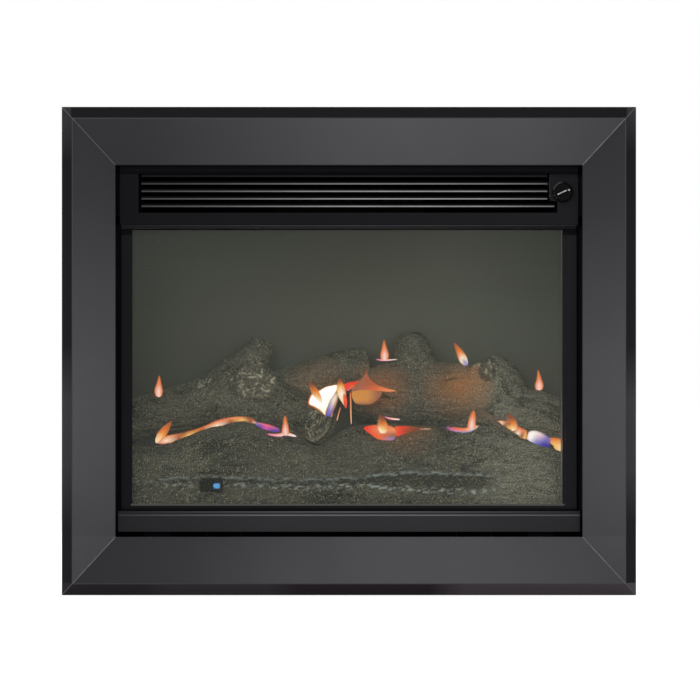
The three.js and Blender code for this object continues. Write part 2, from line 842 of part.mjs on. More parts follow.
function catalystBlock() {
  const halfX = catalystWidth / 2;
  const halfY = catalystDepth / 2;
  const foot = fireboxTop - catalystDrop;
  const lipFoot = roofTop + fit;
  return join(
    box(-halfX, halfX, catalystY - halfY, catalystY + halfY, foot, foot + catalystHeight),
    box(
      -halfX - catalystLip, halfX + catalystLip,
      catalystY - halfY - catalystLip, catalystY + halfY + catalystLip,
      lipFoot, lipFoot + catalystLipHeight,
    ),
  );
}

// ---- window ----

function clipMiddle() {
  return (windowFoot + windowTop) / 2;
}

function windowUnit() {
  const half = windowWidth / 2;
  const front = casingFront;
  const plate = casingFront + panelSheet;
  const returnEnd = front + windowFrameDepth;
  const inner = half - panelSheet;
  const face = cut(
    box(-half, half, front, returnEnd, windowFoot, windowTop),
    box(-inner, inner, plate, returnEnd + 1, windowFoot + panelSheet, windowTop - panelSheet),
    box(
      -half + windowStile, half - windowStile, front - 1, plate + 1,
      windowFoot + windowFootRail, windowTop - windowTopRail,
    ),
  );
  const extras = [];
  const clips = [];
  const tongueFoot = clipMiddle() - tongueHeight / 2;
  for (const [name, side] of sideNames) {
    const lip = [side * (inner - glassLip), side * (inner + 0.5)].sort((a, b) => a - b);
    extras.push(box(...lip, sealFront, sealFront + panelSheet, windowFoot + 0.5, windowTop - 0.5));
    const tongue = [side * (inner - panelSheet), side * inner].sort((a, b) => a - b);
    const tongueRoot = sealFront + panelSheet / 2;
    extras.push(box(...tongue, tongueRoot, returnEnd + tongueLength, tongueFoot, tongueFoot + tongueHeight));
    clips.push(windowClip(name, side, inner, returnEnd + tongueLength + clipRoom));
  }
  const glassHalf = inner - glassEdge;
  const pane = box(
    -glassHalf, glassHalf, glassFront, glassRear,
    windowFoot + panelSheet + glassEdge, windowTop - panelSheet - glassEdge,
  );
  return assembly(
    piece('window_frame', join(face, ...extras), blackPaint),
    piece('glass_pane', pane, glass),
    piece('window_seal', windowSeal(inner), sealFibre),
    ...clips,
  );
}

// rope seal behind the glass, hidden by the frame's face
function windowSeal(inner) {
  const sealOuter = inner - glassLip - fit;
  const foot = windowFoot + panelSheet + glassEdge;
  const top = windowTop - panelSheet - fit;
  return cut(
    box(-sealOuter, sealOuter, sealFront, sealRear, foot, top),
    box(
      -sealOuter + sealWidth, sealOuter - sealWidth, sealFront - 1, sealRear + 1,
      windowFoot + windowFootRail - fit, windowTop - windowTopRail + fit,
    ),
  );
}

// U-shaped spring that grips the window frame's tongue behind the firebox front
function windowClip(name, side, inner, clipBack) {
  const clipFront = mouthRear + fit;
  const leafPath = [
    [-inner - fit, clipFront],
    [-inner - fit, clipBack],
    [-inner + panelSheet + fit, clipBack],
    [-inner + panelSheet + fit, clipFront],
  ];
  const foot = clipMiddle() - clipHeight / 2;
  const spring = alongZ(folded(onSide(side, leafPath), clipSheet), foot, foot + clipHeight);
  return piece(`window_clip_${name}`, spring, brightSteel);
}

// ---- fret under the window ----

function lowerFret() {
  const front = casingFront - fretProud;
  const path = [
    [front + fretSlope + fretFlange, fretTop],
    [front + fretSlope, fretTop],
    [front, fretTop - fretSlope],
    [front, fretFoot],
    [front + fretReturn, fretFoot],
  ];
  const strip = alongX(folded(path, panelSheet), -fretWidth / 2, fretWidth / 2);
  const footRear = casingFront - fit;
  const footFront = footRear - panelSheet;
  const feet = sideNames.map(([, side]) => box(
    side * fretFootX - fretFootWidth / 2, side * fretFootX + fretFootWidth / 2,
    footFront, footRear, -fretFootDrop, fretFoot + panelSheet,
  ));
  const bridges = sideNames.map(([, side]) => box(
    side * fretFootX - fretFootWidth / 2, side * fretFootX + fretFootWidth / 2,
    front + fretReturn - 0.5, footRear, fretFoot, fretFoot + panelSheet,
  ));
  return piece('lower_fret', join(strip, ...feet, ...bridges), blackPaint);
}

// ---- burner and pilot ----

function burner() {
  const half = burnerLength / 2;
  const along = (profile) => {
    const points = profile.map(([radius, x]) => new THREE.Vector2(radius, x));
    return new THREE.LatheGeometry(points, 20).rotateZ(-Math.PI / 2).translate(0, burnerY, burnerZ);
  };
  const tube = along([
    [0, -half],
    [burnerRadius, -half],
    [burnerRadius, half],
    [burnerRadius - burnerWall, half],
    [burnerRadius - burnerWall, half - mixerLength],
    [0, half - mixerLength],
  ]);
  const nozzle = along([
    [0, half - injectorSink],
    [injectorRadius / 2, half - injectorSink],
    [injectorRadius / 2, half + fit],
    [burnerRadius, half + fit],
    [burnerRadius, half + 3],
    [injectorRadius, half + 3],
    [injectorRadius, half + injectorLength],
    [0, half + injectorLength],
  ]);
  return assembly(piece('burner_tube', tube, brightSteel), piece('burner_injector', nozzle, brass));
}

function pilotUnit() {
  const shelfFront = pilotY - pilotShelfLip;
  const uprightY = shelfFront + pilotShelfDepth;
  const bracketPath = [
    [shelfFront, pilotShelf],
    [uprightY - panelSheet, pilotShelf],
    [uprightY - panelSheet, fireboxFloor + panelSheet],
    [shelfFront, fireboxFloor + panelSheet],
  ];
  const halfWidth = probeSpacing + 4;
  const plate = alongX(folded(bracketPath, panelSheet), pilotX - halfWidth, pilotX + halfWidth);
  const shelfHole = (x, radius) => turnedAlongZ(
    [[0, pilotShelf - 2], [radius + fit, pilotShelf - 2], [radius + fit, pilotShelf + 4], [0, pilotShelf + 4]],
    x,
    pilotY,
  );
  const pipeSlot = box(
    pilotX - pilotPipeRadius - 0.5, pilotX + pilotPipeRadius + 0.5,
    uprightY - 3, uprightY + 3, fireboxFloor + panelSheet + 0.2, pilotPipeZ + pilotPipeRadius + 0.5,
  );
  const burnerTube = 4;
  const coupleRadius = 2.4;
  const insulator = 2.5;
  const bracket = cut(
    plate,
    shelfHole(pilotX, burnerTube),
    shelfHole(pilotX - probeSpacing, coupleRadius),
    shelfHole(pilotX + probeSpacing, insulator),
    pipeSlot,
  );
  const head = turnedAlongZ([
    [0, pilotShelf - 5],
    [burnerTube, pilotShelf - 5],
    [burnerTube, pilotTop - 12],
    [burnerTube + 1.5, pilotTop - 11],
    [burnerTube + 1.5, pilotTop - 5],
    [burnerTube, pilotTop - 5],
    [burnerTube, pilotTop - 9],
    [0, pilotTop - 9],
  ], pilotX, pilotY);
  const couple = turnedAlongZ([
    [0, pilotShelf - 14],
    [coupleRadius, pilotShelf - 14],
    [coupleRadius, pilotTop - 2],
    [coupleRadius / 2, pilotTop],
    [0, pilotTop],
  ], pilotX - probeSpacing, pilotY, 12);
  const electrode = turnedAlongZ([
    [0, pilotShelf - 12],
    [insulator, pilotShelf - 12],
    [insulator, pilotTop - 10],
    [0.8, pilotTop - 9],
    [0.8, pilotTop + 2],
    [0, pilotTop + 2],
  ], pilotX + probeSpacing, pilotY, 12);
  return assembly(
    piece('pilot_bracket', bracket, galvanised),
    piece('pilot_burner', head, brass),
    piece('thermocouple', couple, brightSteel),
    piece('spark_electrode', electrode, whiteCeramic),
  );
}

// ---- fuel bed ----

// bark: shallow ridges that run along a log and wander round it
function bark(angle, run) {
  return 1 + 0.035 * Math.sin(3 * angle + run / 23) + 0.025 * Math.sin(5 * angle - run / 14);
}

// a point of the log set, given from the burner's middle and above the tray
function bedPoint([x, y, z]) {
  return new THREE.Vector3(x * logScale, burnerY + y * logScale, fireboxFloor + z * logScale);
}

// log along a row of [x, y, z, radius] points; grow leaves room round it
function log(row, grow = 0, stations = 12) {
  const spine = new THREE.CatmullRomCurve3(row.map(bedPoint));
  const radii = row.map(([, , , radius], i) => new THREE.Vector2(i / (row.length - 1), radius * logScale));
  const girth = new THREE.SplineCurve(radii);
  const path = spine.getPoints(stations);
  const headOut = path[0].clone().sub(path[1]).setLength(grow);
  const tailOut = path.at(-1).clone().sub(path.at(-2)).setLength(grow);
  path[0].add(headOut);
  path.at(-1).add(tailOut);
  const radiusAt = (station, angle) => {
    const radius = girth.getPoint(station / stations).y;
    return radius * bark(angle, path[station].x) + grow;
  };
  return loft(ringsAlong(path, logSides, radiusAt));
}

// height of the front log's top edge above the tray, from its left end to its right end
const frontLogCrest = [
  [-272, 100], [-228, 98], [-168, 120], [-126, 129], [-106, 126], [-64, 110], [-38, 97], [-6, 115], [22, 122],
  [98, 122], [118, 122], [153, 137], [168, 137], [184, 126], [203, 113], [226, 108], [252, 100], [272, 90],
];

// the long log across the whole front, arched on top and flat on the tray
function frontLog(grow = 0) {
  const crest = new THREE.SplineCurve(frontLogCrest.map(([x, z]) => new THREE.Vector2(x, z)));
  const stations = 26;
  const sides = logSides + 2;
  const rings = [];
  for (let i = 0; i <= stations; i += 1) {
    const { x, y: height } = crest.getPoint(i / stations);
    const rise = (height * logScale) / 2;
    rings.push(Array.from({ length: sides }, (_, k) => {
      const angle = (2 * Math.PI * k) / sides;
      const roundness = Math.sin(angle) < 0 ? 0.45 : 0.85;
      const across = Math.sign(Math.cos(angle)) * Math.abs(Math.cos(angle)) ** roundness;
      const up = Math.sign(Math.sin(angle)) * Math.abs(Math.sin(angle)) ** roundness;
      const swell = Math.sin(angle) > 0.9 ? 1 : bark(angle, x);
      return new THREE.Vector3(
        x * logScale,
        frontLogY + across * (frontLogHalf * swell + grow),
        fireboxFloor + rise + up * (rise + grow),
      );
    }));
  }
  return loft(rings);
}

function leftLog(grow = 0) {
  const trunk = log([
    [-280, 3, 137, 27], [-205, 2, 142, 32], [-145, -2, 149, 40], [-95, -10, 144, 38], [-58, -34, 131, 30],
    [-33, -66, 121, 24],
  ], grow);
  const branch = log([[-165, 0, 152, 27], [-135, 0, 182, 25], [-108, 2, 224, 16]], grow, 6);
  const knot = log([[-116, -14, 170, 27], [-112, -38, 177, 25]], grow, 2);
  return join(trunk, branch, knot);
}

function centreLog(grow = 0) {
  const trunk = log([
    [8, 0, 160, 30], [50, 0, 158, 40], [105, 0, 154, 44], [160, 2, 152, 40], [200, 4, 146, 30],
  ], grow);
  const hump = log([[86, 0, 169, 27], [82, 2, 199, 27], [76, 2, 226, 19], [74, 2, 235, 8]], grow, 6);
  return join(trunk, hump);
}

function rightLog(grow = 0) {
  return log([[164, -14, 184, 20], [188, -2, 178, 31], [228, 2, 142, 36], [290, 4, 102, 36]], grow);
}

function backLog(grow = 0) {
  return log([[-118, 6, 166, 17], [-50, 6, 186, 17], [0, 6, 199, 15.5], [33, 5, 204, 13]], grow, 10);
}

function emberBed(grow = 0) {
  const channel = bedChannel / 2;
  const channelTop = fireboxFloor + bedChannelHeight;
  const top = trayTop + bedTop + grow;
  const outline = [
    [bedFront - grow, fireboxFloor],
    [burnerY - channel, fireboxFloor],
    [burnerY - channel, channelTop],
    [burnerY + channel, channelTop],
    [burnerY + channel, fireboxFloor],
    [bedRear + grow, fireboxFloor],
    [bedRear + grow, top],
    [bedFront - grow + bedChamfer, top],
    [bedFront - grow, top - bedChamfer],
  ];
  const half = fireboxWidth / 2 - bedInset;
  return alongX(outline, -half - grow, half + grow);
}

function fuelBed() {
  const beyond = casingWidth;
  const outside = [
    box(-beyond, -logEnd, -beyond, beyond, -beyond, beyond),
    box(logEnd, beyond, -beyond, beyond, -beyond, beyond),
    box(-beyond, beyond, -beyond, beyond, -beyond, fireboxFloor),
    box(-beyond, beyond, bedRear, beyond, -beyond, beyond),
  ];
  const logFront = frontLogY - frontLogHalf;
  const logBack = frontLogY + frontLogHalf;
  const roomTop = pilotTop + clipRoom + pilotRoomMargin;
  const pilotRoom = box(
    pilotX - probeSpacing - pilotRoomMargin, pilotX + probeSpacing + pilotRoomMargin,
    pilotY - 2 * pilotShelfLip, logBack + frontLogHalf / 2, -pilotTop, roomTop,
  );
  const pilotSight = box(
    pilotX - probeSpacing - pilotRoomMargin, pilotX + probeSpacing - 1,
    logFront - frontLogHalf / 2, pilotY, roomTop - pilotSightHeight, roomTop - fit,
  );
  const cleft = new THREE.SphereGeometry(1, 20, 8);
  cleft.scale(cleftLength / 2, cleftDepth, cleftHeight / 2);
  cleft.translate(cleftShift, logFront, fireboxFloor + cleftRise);
  const front = cut(frontLog(), ...outside, pilotRoom, pilotSight, cleft);
  const left = cut(leftLog(), ...outside, frontLog(fit), emberBed(fit));
  const centre = cut(centreLog(), ...outside, frontLog(fit), leftLog(fit), emberBed(fit));
  const right = cut(rightLog(), ...outside, frontLog(fit), centreLog(fit), emberBed(fit));
  const back = cut(backLog(), ...outside, leftLog(fit), centreLog(fit));
  const bed = cut(emberBed(), frontLog(fit));
  return assembly(
    piece('front_log', mainBody(front), logCeramic),
    piece('left_log', mainBody(left), logCeramic),
    piece('centre_log', mainBody(centre), logCeramic),
    piece('right_log', mainBody(right), logCeramic),
    piece('back_log', mainBody(back), logCeramic),
    piece('ember_bed', mainBody(bed), emberCeramic),
  );
}

const fireplaceInsert = assembly(
  casing(),
  firebox(),
  burner(),
  pilotUnit(),
  fuelBed(),
  windowUnit(),
  lowerFret(),
  fascia(),
  louvre(),
  control(),
  gasValve(),
  pipes(),
  trimFrame(),
);
fireplaceInsert.name = 'fireplace_insert';

export default fireplaceInsert;
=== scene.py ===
import json
import math

import bmesh
import bpy
from mathutils import Matrix, Vector, noise

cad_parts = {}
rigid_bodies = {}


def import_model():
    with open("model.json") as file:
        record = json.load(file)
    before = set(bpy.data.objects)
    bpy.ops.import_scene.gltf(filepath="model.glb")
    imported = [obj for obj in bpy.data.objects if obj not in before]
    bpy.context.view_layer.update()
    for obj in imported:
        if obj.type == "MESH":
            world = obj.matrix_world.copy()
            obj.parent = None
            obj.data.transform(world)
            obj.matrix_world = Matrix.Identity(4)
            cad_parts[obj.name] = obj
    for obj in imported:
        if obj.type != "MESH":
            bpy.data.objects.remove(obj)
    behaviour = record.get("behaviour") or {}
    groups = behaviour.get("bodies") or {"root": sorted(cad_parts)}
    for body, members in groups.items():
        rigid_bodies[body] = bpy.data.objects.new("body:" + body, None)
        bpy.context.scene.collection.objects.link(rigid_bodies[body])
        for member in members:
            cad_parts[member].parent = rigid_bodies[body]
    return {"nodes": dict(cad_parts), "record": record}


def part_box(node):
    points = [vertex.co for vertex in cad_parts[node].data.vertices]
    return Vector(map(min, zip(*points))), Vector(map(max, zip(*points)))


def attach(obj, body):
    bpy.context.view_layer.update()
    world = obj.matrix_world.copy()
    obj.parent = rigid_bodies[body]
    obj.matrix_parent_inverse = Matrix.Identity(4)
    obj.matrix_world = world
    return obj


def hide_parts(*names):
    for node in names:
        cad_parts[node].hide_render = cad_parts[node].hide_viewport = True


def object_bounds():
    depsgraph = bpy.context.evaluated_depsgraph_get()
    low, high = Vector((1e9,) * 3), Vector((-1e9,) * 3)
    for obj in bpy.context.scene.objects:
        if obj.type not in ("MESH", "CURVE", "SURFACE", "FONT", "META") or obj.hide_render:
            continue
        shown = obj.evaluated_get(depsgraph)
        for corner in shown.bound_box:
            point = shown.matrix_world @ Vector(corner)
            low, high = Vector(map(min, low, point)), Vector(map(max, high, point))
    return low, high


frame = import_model()
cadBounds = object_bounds()
cadNodes = frame["nodes"]
mm = 0.001
print("frame loaded,", len(cadNodes), "nodes")


# colours and nodes

def paint(red, green, blue):
    # a screen colour, 0 to 255, as the shader's own linear colour
    parts = [c / 12.92 if c <= 0.04045 else ((c + 0.055) / 1.055) ** 2.4
             for c in (red / 255, green / 255, blue / 255)]
    return (*parts, 1.0)


def addNode(tree, kind, inputs=None, **settings):
    node = tree.nodes.new(kind)
    for name, value in settings.items():
        setattr(node, name, value)
    for name, value in (inputs or {}).items():
        setInput(tree, node.inputs[name], value)
    return node


def setInput(tree, socket, value):
    # a socket takes a link from another one, or a plain value
    if isinstance(value, bpy.types.NodeSocket):
        tree.links.new(value, socket)
    else:
        socket.default_value = value


def rampNode(tree, factor, *stops):
    # stops are (position, colour) pairs; the first two reuse the ramp's own
    ramp = addNode(tree, "ShaderNodeValToRGB", {"Fac": factor})
    elements = ramp.color_ramp.elements
    while len(elements) < len(stops):
        elements.new(0.5)
    for element, (position, colour) in zip(elements, stops):
        element.position = position
        element.color = colour if len(colour) == 4 else (*colour, 1.0)
    return ramp.outputs["Color"]


def noiseOn(tree, where, scale, detail, roughness):
    return addNode(tree, "ShaderNodeTexNoise", {
        "Vector": where, "Scale": scale, "Detail": detail, "Roughness": roughness}).outputs["Fac"]


def mixColour(tree, factor, first, second):
    return addNode(tree, "ShaderNodeMix", {0: factor, 6: first, 7: second}, data_type="RGBA").outputs[2]


def calculate(tree, operation, first, second=0.0, clamp=False):
    return addNode(tree, "ShaderNodeMath", {0: first, 1: second}, operation=operation,
                   use_clamp=clamp).outputs[0]


def times(tree, first, second, clamp=False):
    return calculate(tree, "MULTIPLY", first, second, clamp)


def scaled(tree, colour, factor):
    return addNode(tree, "ShaderNodeVectorMath", {0: colour, "Scale": factor}, operation="SCALE").outputs[0]


def measure(tree, operation, first, second):
    # one number from two vectors, such as their distance
    return addNode(tree, "ShaderNodeVectorMath", {0: first, 1: second}, operation=operation).outputs["Value"]


def remap(tree, value, low, high, toLow=0.0, toHigh=1.0):
    return addNode(tree, "ShaderNodeMapRange", {
        "Value": value, "From Min": low, "From Max": high, "To Min": toLow, "To Max": toHigh},
        clamp=True).outputs["Result"]


def objectPoint(tree):
    return addNode(tree, "ShaderNodeTexCoord").outputs["Object"]


def place(tree, scale=(1, 1, 1), rotation=(0, 0, 0)):
    # object coordinates, stretched or turned for one pattern
    return addNode(tree, "ShaderNodeMapping", {
        "Vector": objectPoint(tree), "Scale": scale, "Rotation": rotation}).outputs["Vector"]


def axesOf(tree, vector=None):
    # X, Y and Z of a vector, or of the object coordinates
    return addNode(tree, "ShaderNodeSeparateXYZ", {0: vector or place(tree)}).outputs


def newGroup(name, inputs, outputs):
    group = bpy.data.node_groups.new(name, "ShaderNodeTree")
    for label, kind, value in inputs:
        socket = group.interface.new_socket(name=label, in_out="INPUT", socket_type=kind)
        socket.default_value = value
    for label, kind in outputs:
        group.interface.new_socket(name=label, in_out="OUTPUT", socket_type=kind)
    start = group.nodes.new("NodeGroupInput")
    end = group.nodes.new("NodeGroupOutput")
    return group, start.outputs, end.inputs


def useGroup(tree, group, **values):
    return addNode(tree, "ShaderNodeGroup", values, node_tree=group).outputs


def newMaterial(name, **shaderValues):
    material = bpy.data.materials.new(name)
    material.use_nodes = True
    tree = material.node_tree
    shader = tree.nodes["Principled BSDF"]
    for label, value in shaderValues.items():
        setInput(tree, shader.inputs[label.replace("_", " ")], value)
    return material, tree, shader


def coverWith(tree, shader, colour, roughness):
    setInput(tree, shader.inputs["Base Color"], colour)
    setInput(tree, shader.inputs["Roughness"], roughness)


# effects that several finishes share

def makePaintGrain():
    # the fine orange peel of baked paint: a tint, a roughness change and a height
    group, given, made = newGroup("paint grain", [
        ("Colour", "NodeSocketColor", (0.05, 0.05, 0.05, 1)),
        ("Grain Size", "NodeSocketFloat", 900.0),
        ("Contrast", "NodeSocketFloat", 0.15),
        ("Roughness", "NodeSocketFloat", 0.5)],
        [("Colour", "NodeSocketColor"), ("Roughness", "NodeSocketFloat"), ("Height", "NodeSocketFloat")])
    where = objectPoint(group)
    fine = noiseOn(group, where, given["Grain Size"], 2.0, 0.6)
    broad = noiseOn(group, where, 9.0, 3.0, 0.5)
    both = calculate(group, "ADD", times(group, fine, 0.75), times(group, broad, 0.25))
    swing = times(group, calculate(group, "SUBTRACT", both, 0.5), given["Contrast"])
    factor = calculate(group, "ADD", times(group, swing, 4.0), 1.0)
    setInput(group, made["Colour"], scaled(group, given["Colour"], factor))
    setInput(group, made["Roughness"], calculate(group, "ADD", given["Roughness"], swing))
    setInput(group, made["Height"], fine)
    return group


def makeEdgeWearAndHighlight():
    # how far a point is rubbed, a mask that also paints highlights along edges: 1 on a sharp outer edge,
    # broken up by noise
    group, given, made = newGroup("edge wear and painted highlight", [
        ("Width", "NodeSocketFloat", 0.0008),
        ("Amount", "NodeSocketFloat", 0.5)],
        [("Mask", "NodeSocketFloat")])
    rounded = addNode(group, "ShaderNodeBevel", {"Radius": given["Width"]}, samples=4)
    surface = addNode(group, "ShaderNodeNewGeometry")
    meeting = measure(group, "DOT_PRODUCT", rounded.outputs["Normal"], surface.outputs["Normal"])
    bend = calculate(group, "SUBTRACT", 1.0, meeting)
    patches = noiseOn(group, objectPoint(group), 60.0, 4.0, 0.7)
    strength = times(group, remap(group, bend, 0.01, 0.12), remap(group, patches, 0.38, 0.62))
    setInput(group, made["Mask"], times(group, strength, given["Amount"], True))
    return group


def makeSettledDust():
    # soft dust on whatever faces up
    group, given, made = newGroup("settled dust", [
        ("Amount", "NodeSocketFloat", 0.4)],
        [("Mask", "NodeSocketFloat")])
    surface = addNode(group, "ShaderNodeNewGeometry")
    up = axesOf(group, surface.outputs["Normal"])["Z"]
    drift = noiseOn(group, objectPoint(group), 38.0, 5.0, 0.65)
    lying = times(group, remap(group, up, 0.3, 0.95), remap(group, drift, 0.35, 0.7, 0.25, 1.0))
    setInput(group, made["Mask"], times(group, lying, given["Amount"], True))
    return group


paintGrain = makePaintGrain()
edgeWearAndHighlightGroup = makeEdgeWearAndHighlight()
settledDust = makeSettledDust()


# finishes

def bumpInto(tree, shader, height, distance):
    bump = addNode(tree, "ShaderNodeBump", {"Height": height, "Distance": distance, "Strength": 1.0})
    setInput(tree, shader.inputs["Normal"], bump.outputs["Normal"])


def grainOn(tree, colour, size, contrast, roughness):
    return useGroup(tree, paintGrain, **{
        "Colour": colour, "Grain Size": size, "Contrast": contrast, "Roughness": roughness})


def paintedSheet(name, colour, edgeWearAndHighlightColour, roughness, rubbed, specular, grainSize=900.0, contrast=0.15,
                 edge=0.0008):
    material, tree, shader = newMaterial(name, Specular_IOR_Level=specular)
    grain = grainOn(tree, colour, grainSize, contrast, roughness)
    # edges take the lighter colour, partly as wear and partly as painted highlight
    edgeWearAndHighlight = useGroup(tree, edgeWearAndHighlightGroup, Width=edge, Amount=rubbed)
    coverWith(tree, shader, mixColour(tree, edgeWearAndHighlight["Mask"], grain["Colour"], edgeWearAndHighlightColour), grain["Roughness"])
    bumpInto(tree, shader, grain["Height"], 0.00008)
    return material


finishes = {}
finishes["graphite_paint"] = paintedSheet(
    "graphite powder coat", paint(76, 75, 80), paint(120, 119, 125), 0.55,
    grainSize=1100.0, contrast=0.16, rubbed=0.5, edge=0.0006, specular=0.12)
finishes["black_paint"] = paintedSheet(
    "satin black sheet", paint(23, 22, 26), paint(60, 59, 62), 0.5,
    contrast=0.12, rubbed=0.8, edge=0.0009, specular=0.03)


def acrossFront(tree, *stops):
    # a ramp read from left to right across the whole front
    return rampNode(tree, remap(tree, axesOf(tree)["X"], -0.3, 0.3), *stops)


def evenStops(colours):
    return [(i / (len(colours) - 1), colour) for i, colour in enumerate(colours)]


def coolGrey(level):
    # the faintly violet greys of the coats
    return paint(level, level - 1, level + 2)


def greyAcross(tree, levels):
    # evenly spaced greys from left to right across the front
    return acrossFront(tree, *evenStops([coolGrey(level) for level in levels]))


bandSoftness = 0.25  # mm


def heightBand(tree, low, high):
    # 1 between two heights in mm
    up = axesOf(tree)["Z"]
    rise = remap(tree, up, (low - bandSoftness) * mm, (low + bandSoftness) * mm)
    fall = remap(tree, up, (high + bandSoftness) * mm, (high - bandSoftness) * mm)
    return times(tree, rise, fall)


def makeFrontPaint(name, levels, bands, rubbed=0.5):
    # satin black with painted light: greys that change across the front, and bands [low, high, greys] along
    # its folds that paint highlights and shade
    material, tree, shader = newMaterial(name, Specular_IOR_Level=0.03)
    grain = grainOn(tree, greyAcross(tree, levels), 900.0, 0.1, 0.5)
    edgeWearAndHighlight = useGroup(tree, edgeWearAndHighlightGroup, Width=0.0006, Amount=rubbed)
    colourNow = mixColour(tree, edgeWearAndHighlight["Mask"], grain["Colour"], paint(60, 59, 62))
    for low, high, greys in bands:
        colourNow = mixColour(tree, heightBand(tree, low, high), colourNow, greyAcross(tree, greys))
    coverWith(tree, shader, colourNow, grain["Roughness"])
    bumpInto(tree, shader, grain["Height"], 0.00006)
    return material


# painted light: greys lighter to the right, painted shade in the top louvre's slot, a dim painted highlight
# on its lip and painted shadow under the frame's top rail
fasciaPaint = makeFrontPaint("fascia satin black", (18, 25, 30), [
    (449.0, 453.4, (6, 4)), (446.0, 448.8, (21, 25, 22)), (453.6, 470.0, (14, 14))], rubbed=0.08)
# painted light: greys lighter to the right, a painted highlight along the top edge under the fascia's fold, a
# lighter band below it, painted shadow under the fascia's overhang and near black just above the fret
windowPaint = makeFrontPaint("window frame black", (24, 27, 33), [
    (387.5, 388.9, (96, 142, 150, 104)), (384.2, 387.3, (38, 51, 28)), (376.5, 384.2, (6, 6)),
    (46.0, 49.0, (14, 14))])
# painted light: greys lightest in the middle, painted highlights on its two top edges and painted shade below
# its face
fretPaint = makeFrontPaint("fret satin black", (38, 52, 53, 43), [
    (44.0, 45.3, (34, 98, 42)), (40.1, 41.6, (52, 112, 112, 82)), (-20.0, 20.5, (4, 4))], rubbed=0.2)
# near black that stands in for shade: painted shade for parts that sit in shadow
shadeBlack = paintedSheet(
    "painted shade black sheet", paint(7, 7, 8), paint(12, 12, 13), 0.7, rubbed=0.2, specular=0.0)
sootedSteel = paintedSheet("sooted steel", paint(30, 29, 28), paint(70, 66, 60), 0.7, grainSize=300.0,
                           contrast=0.3, rubbed=0.3, specular=0.1)


def makeBladePaints():
    # black blades whose turned down noses carry a painted highlight, brightest near the middle and broken up
    # by noise, with painted shadow dimming the two upper noses
    nose, tree, shader = newMaterial("blade nose painted highlight", Specular_IOR_Level=0.02)
    rub = noiseOn(tree, place(tree, scale=(0.12, 1, 1)), 160.0, 3.0, 0.6)
    bright = greyAcross(tree, (50, 100, 156, 156, 88))
    bright = mixColour(tree, remap(tree, rub, 0.4, 0.8, 0.0, 0.35), bright, paint(80, 79, 82))
    dimmed = mixColour(tree, 0.3, bright, paint(30, 30, 31))
    hidden = mixColour(tree, 0.97, bright, paint(23, 23, 24))
    upper = mixColour(tree, heightBand(tree, 433.0, 441.0), bright, dimmed)
    coverWith(tree, shader, mixColour(tree, heightBand(tree, 442.0, 456.0), upper, hidden),
              remap(tree, rub, 0.3, 0.7, 0.35, 0.55))
    blade = paintedSheet(
        "louvre blade black", paint(22, 22, 23), paint(30, 30, 31), 0.6, rubbed=0.2, specular=0.02)
    return [blade, nose]


bladePaints = makeBladePaints()
finishes["blade_paint"] = bladePaints[0]


def makeLinerPaint():
    # grey green with painted light: paler towards the right and at the very top; warmer near a point above
    # the fire
    material, tree, shader = newMaterial("grey green firebox paint", Specular_IOR_Level=0.05)
    tint = acrossFront(tree, (0.1, paint(75, 77, 68)), (0.6, paint(97, 99, 88)), (1.0, paint(100, 104, 93)))
    parts = axesOf(tree)
    paler = mixColour(tree, remap(tree, parts["X"], -0.15, 0.2), paint(94, 96, 86), paint(124, 126, 114))
    tint = mixColour(tree, remap(tree, parts["Z"], 0.315, 0.388, 0.0, 0.85), tint, paler)
    fromFire = measure(tree, "DISTANCE", place(tree), (0.02, 0.07, 0.34))
    tint = mixColour(tree, remap(tree, fromFire, 0.11, 0.0, 0.0, 0.25), tint, paint(100, 88, 72))
    grain = grainOn(tree, tint, 420.0, 0.03, 0.85)
    lying = useGroup(tree, settledDust, Amount=0.25)
    coverWith(tree, shader, mixColour(tree, lying["Mask"], grain["Colour"], paint(150, 145, 135)),
              grain["Roughness"])
    return material


finishes["liner_paint"] = makeLinerPaint()


casingLow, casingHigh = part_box("casing_back")
withinSheet = 0.6 * mm
casingInside = {
    "halfWidth": casingHigh.x - withinSheet, "rear": casingHigh.y - withinSheet,
    "top": casingHigh.z - withinSheet, "foot": casingLow.z + withinSheet}


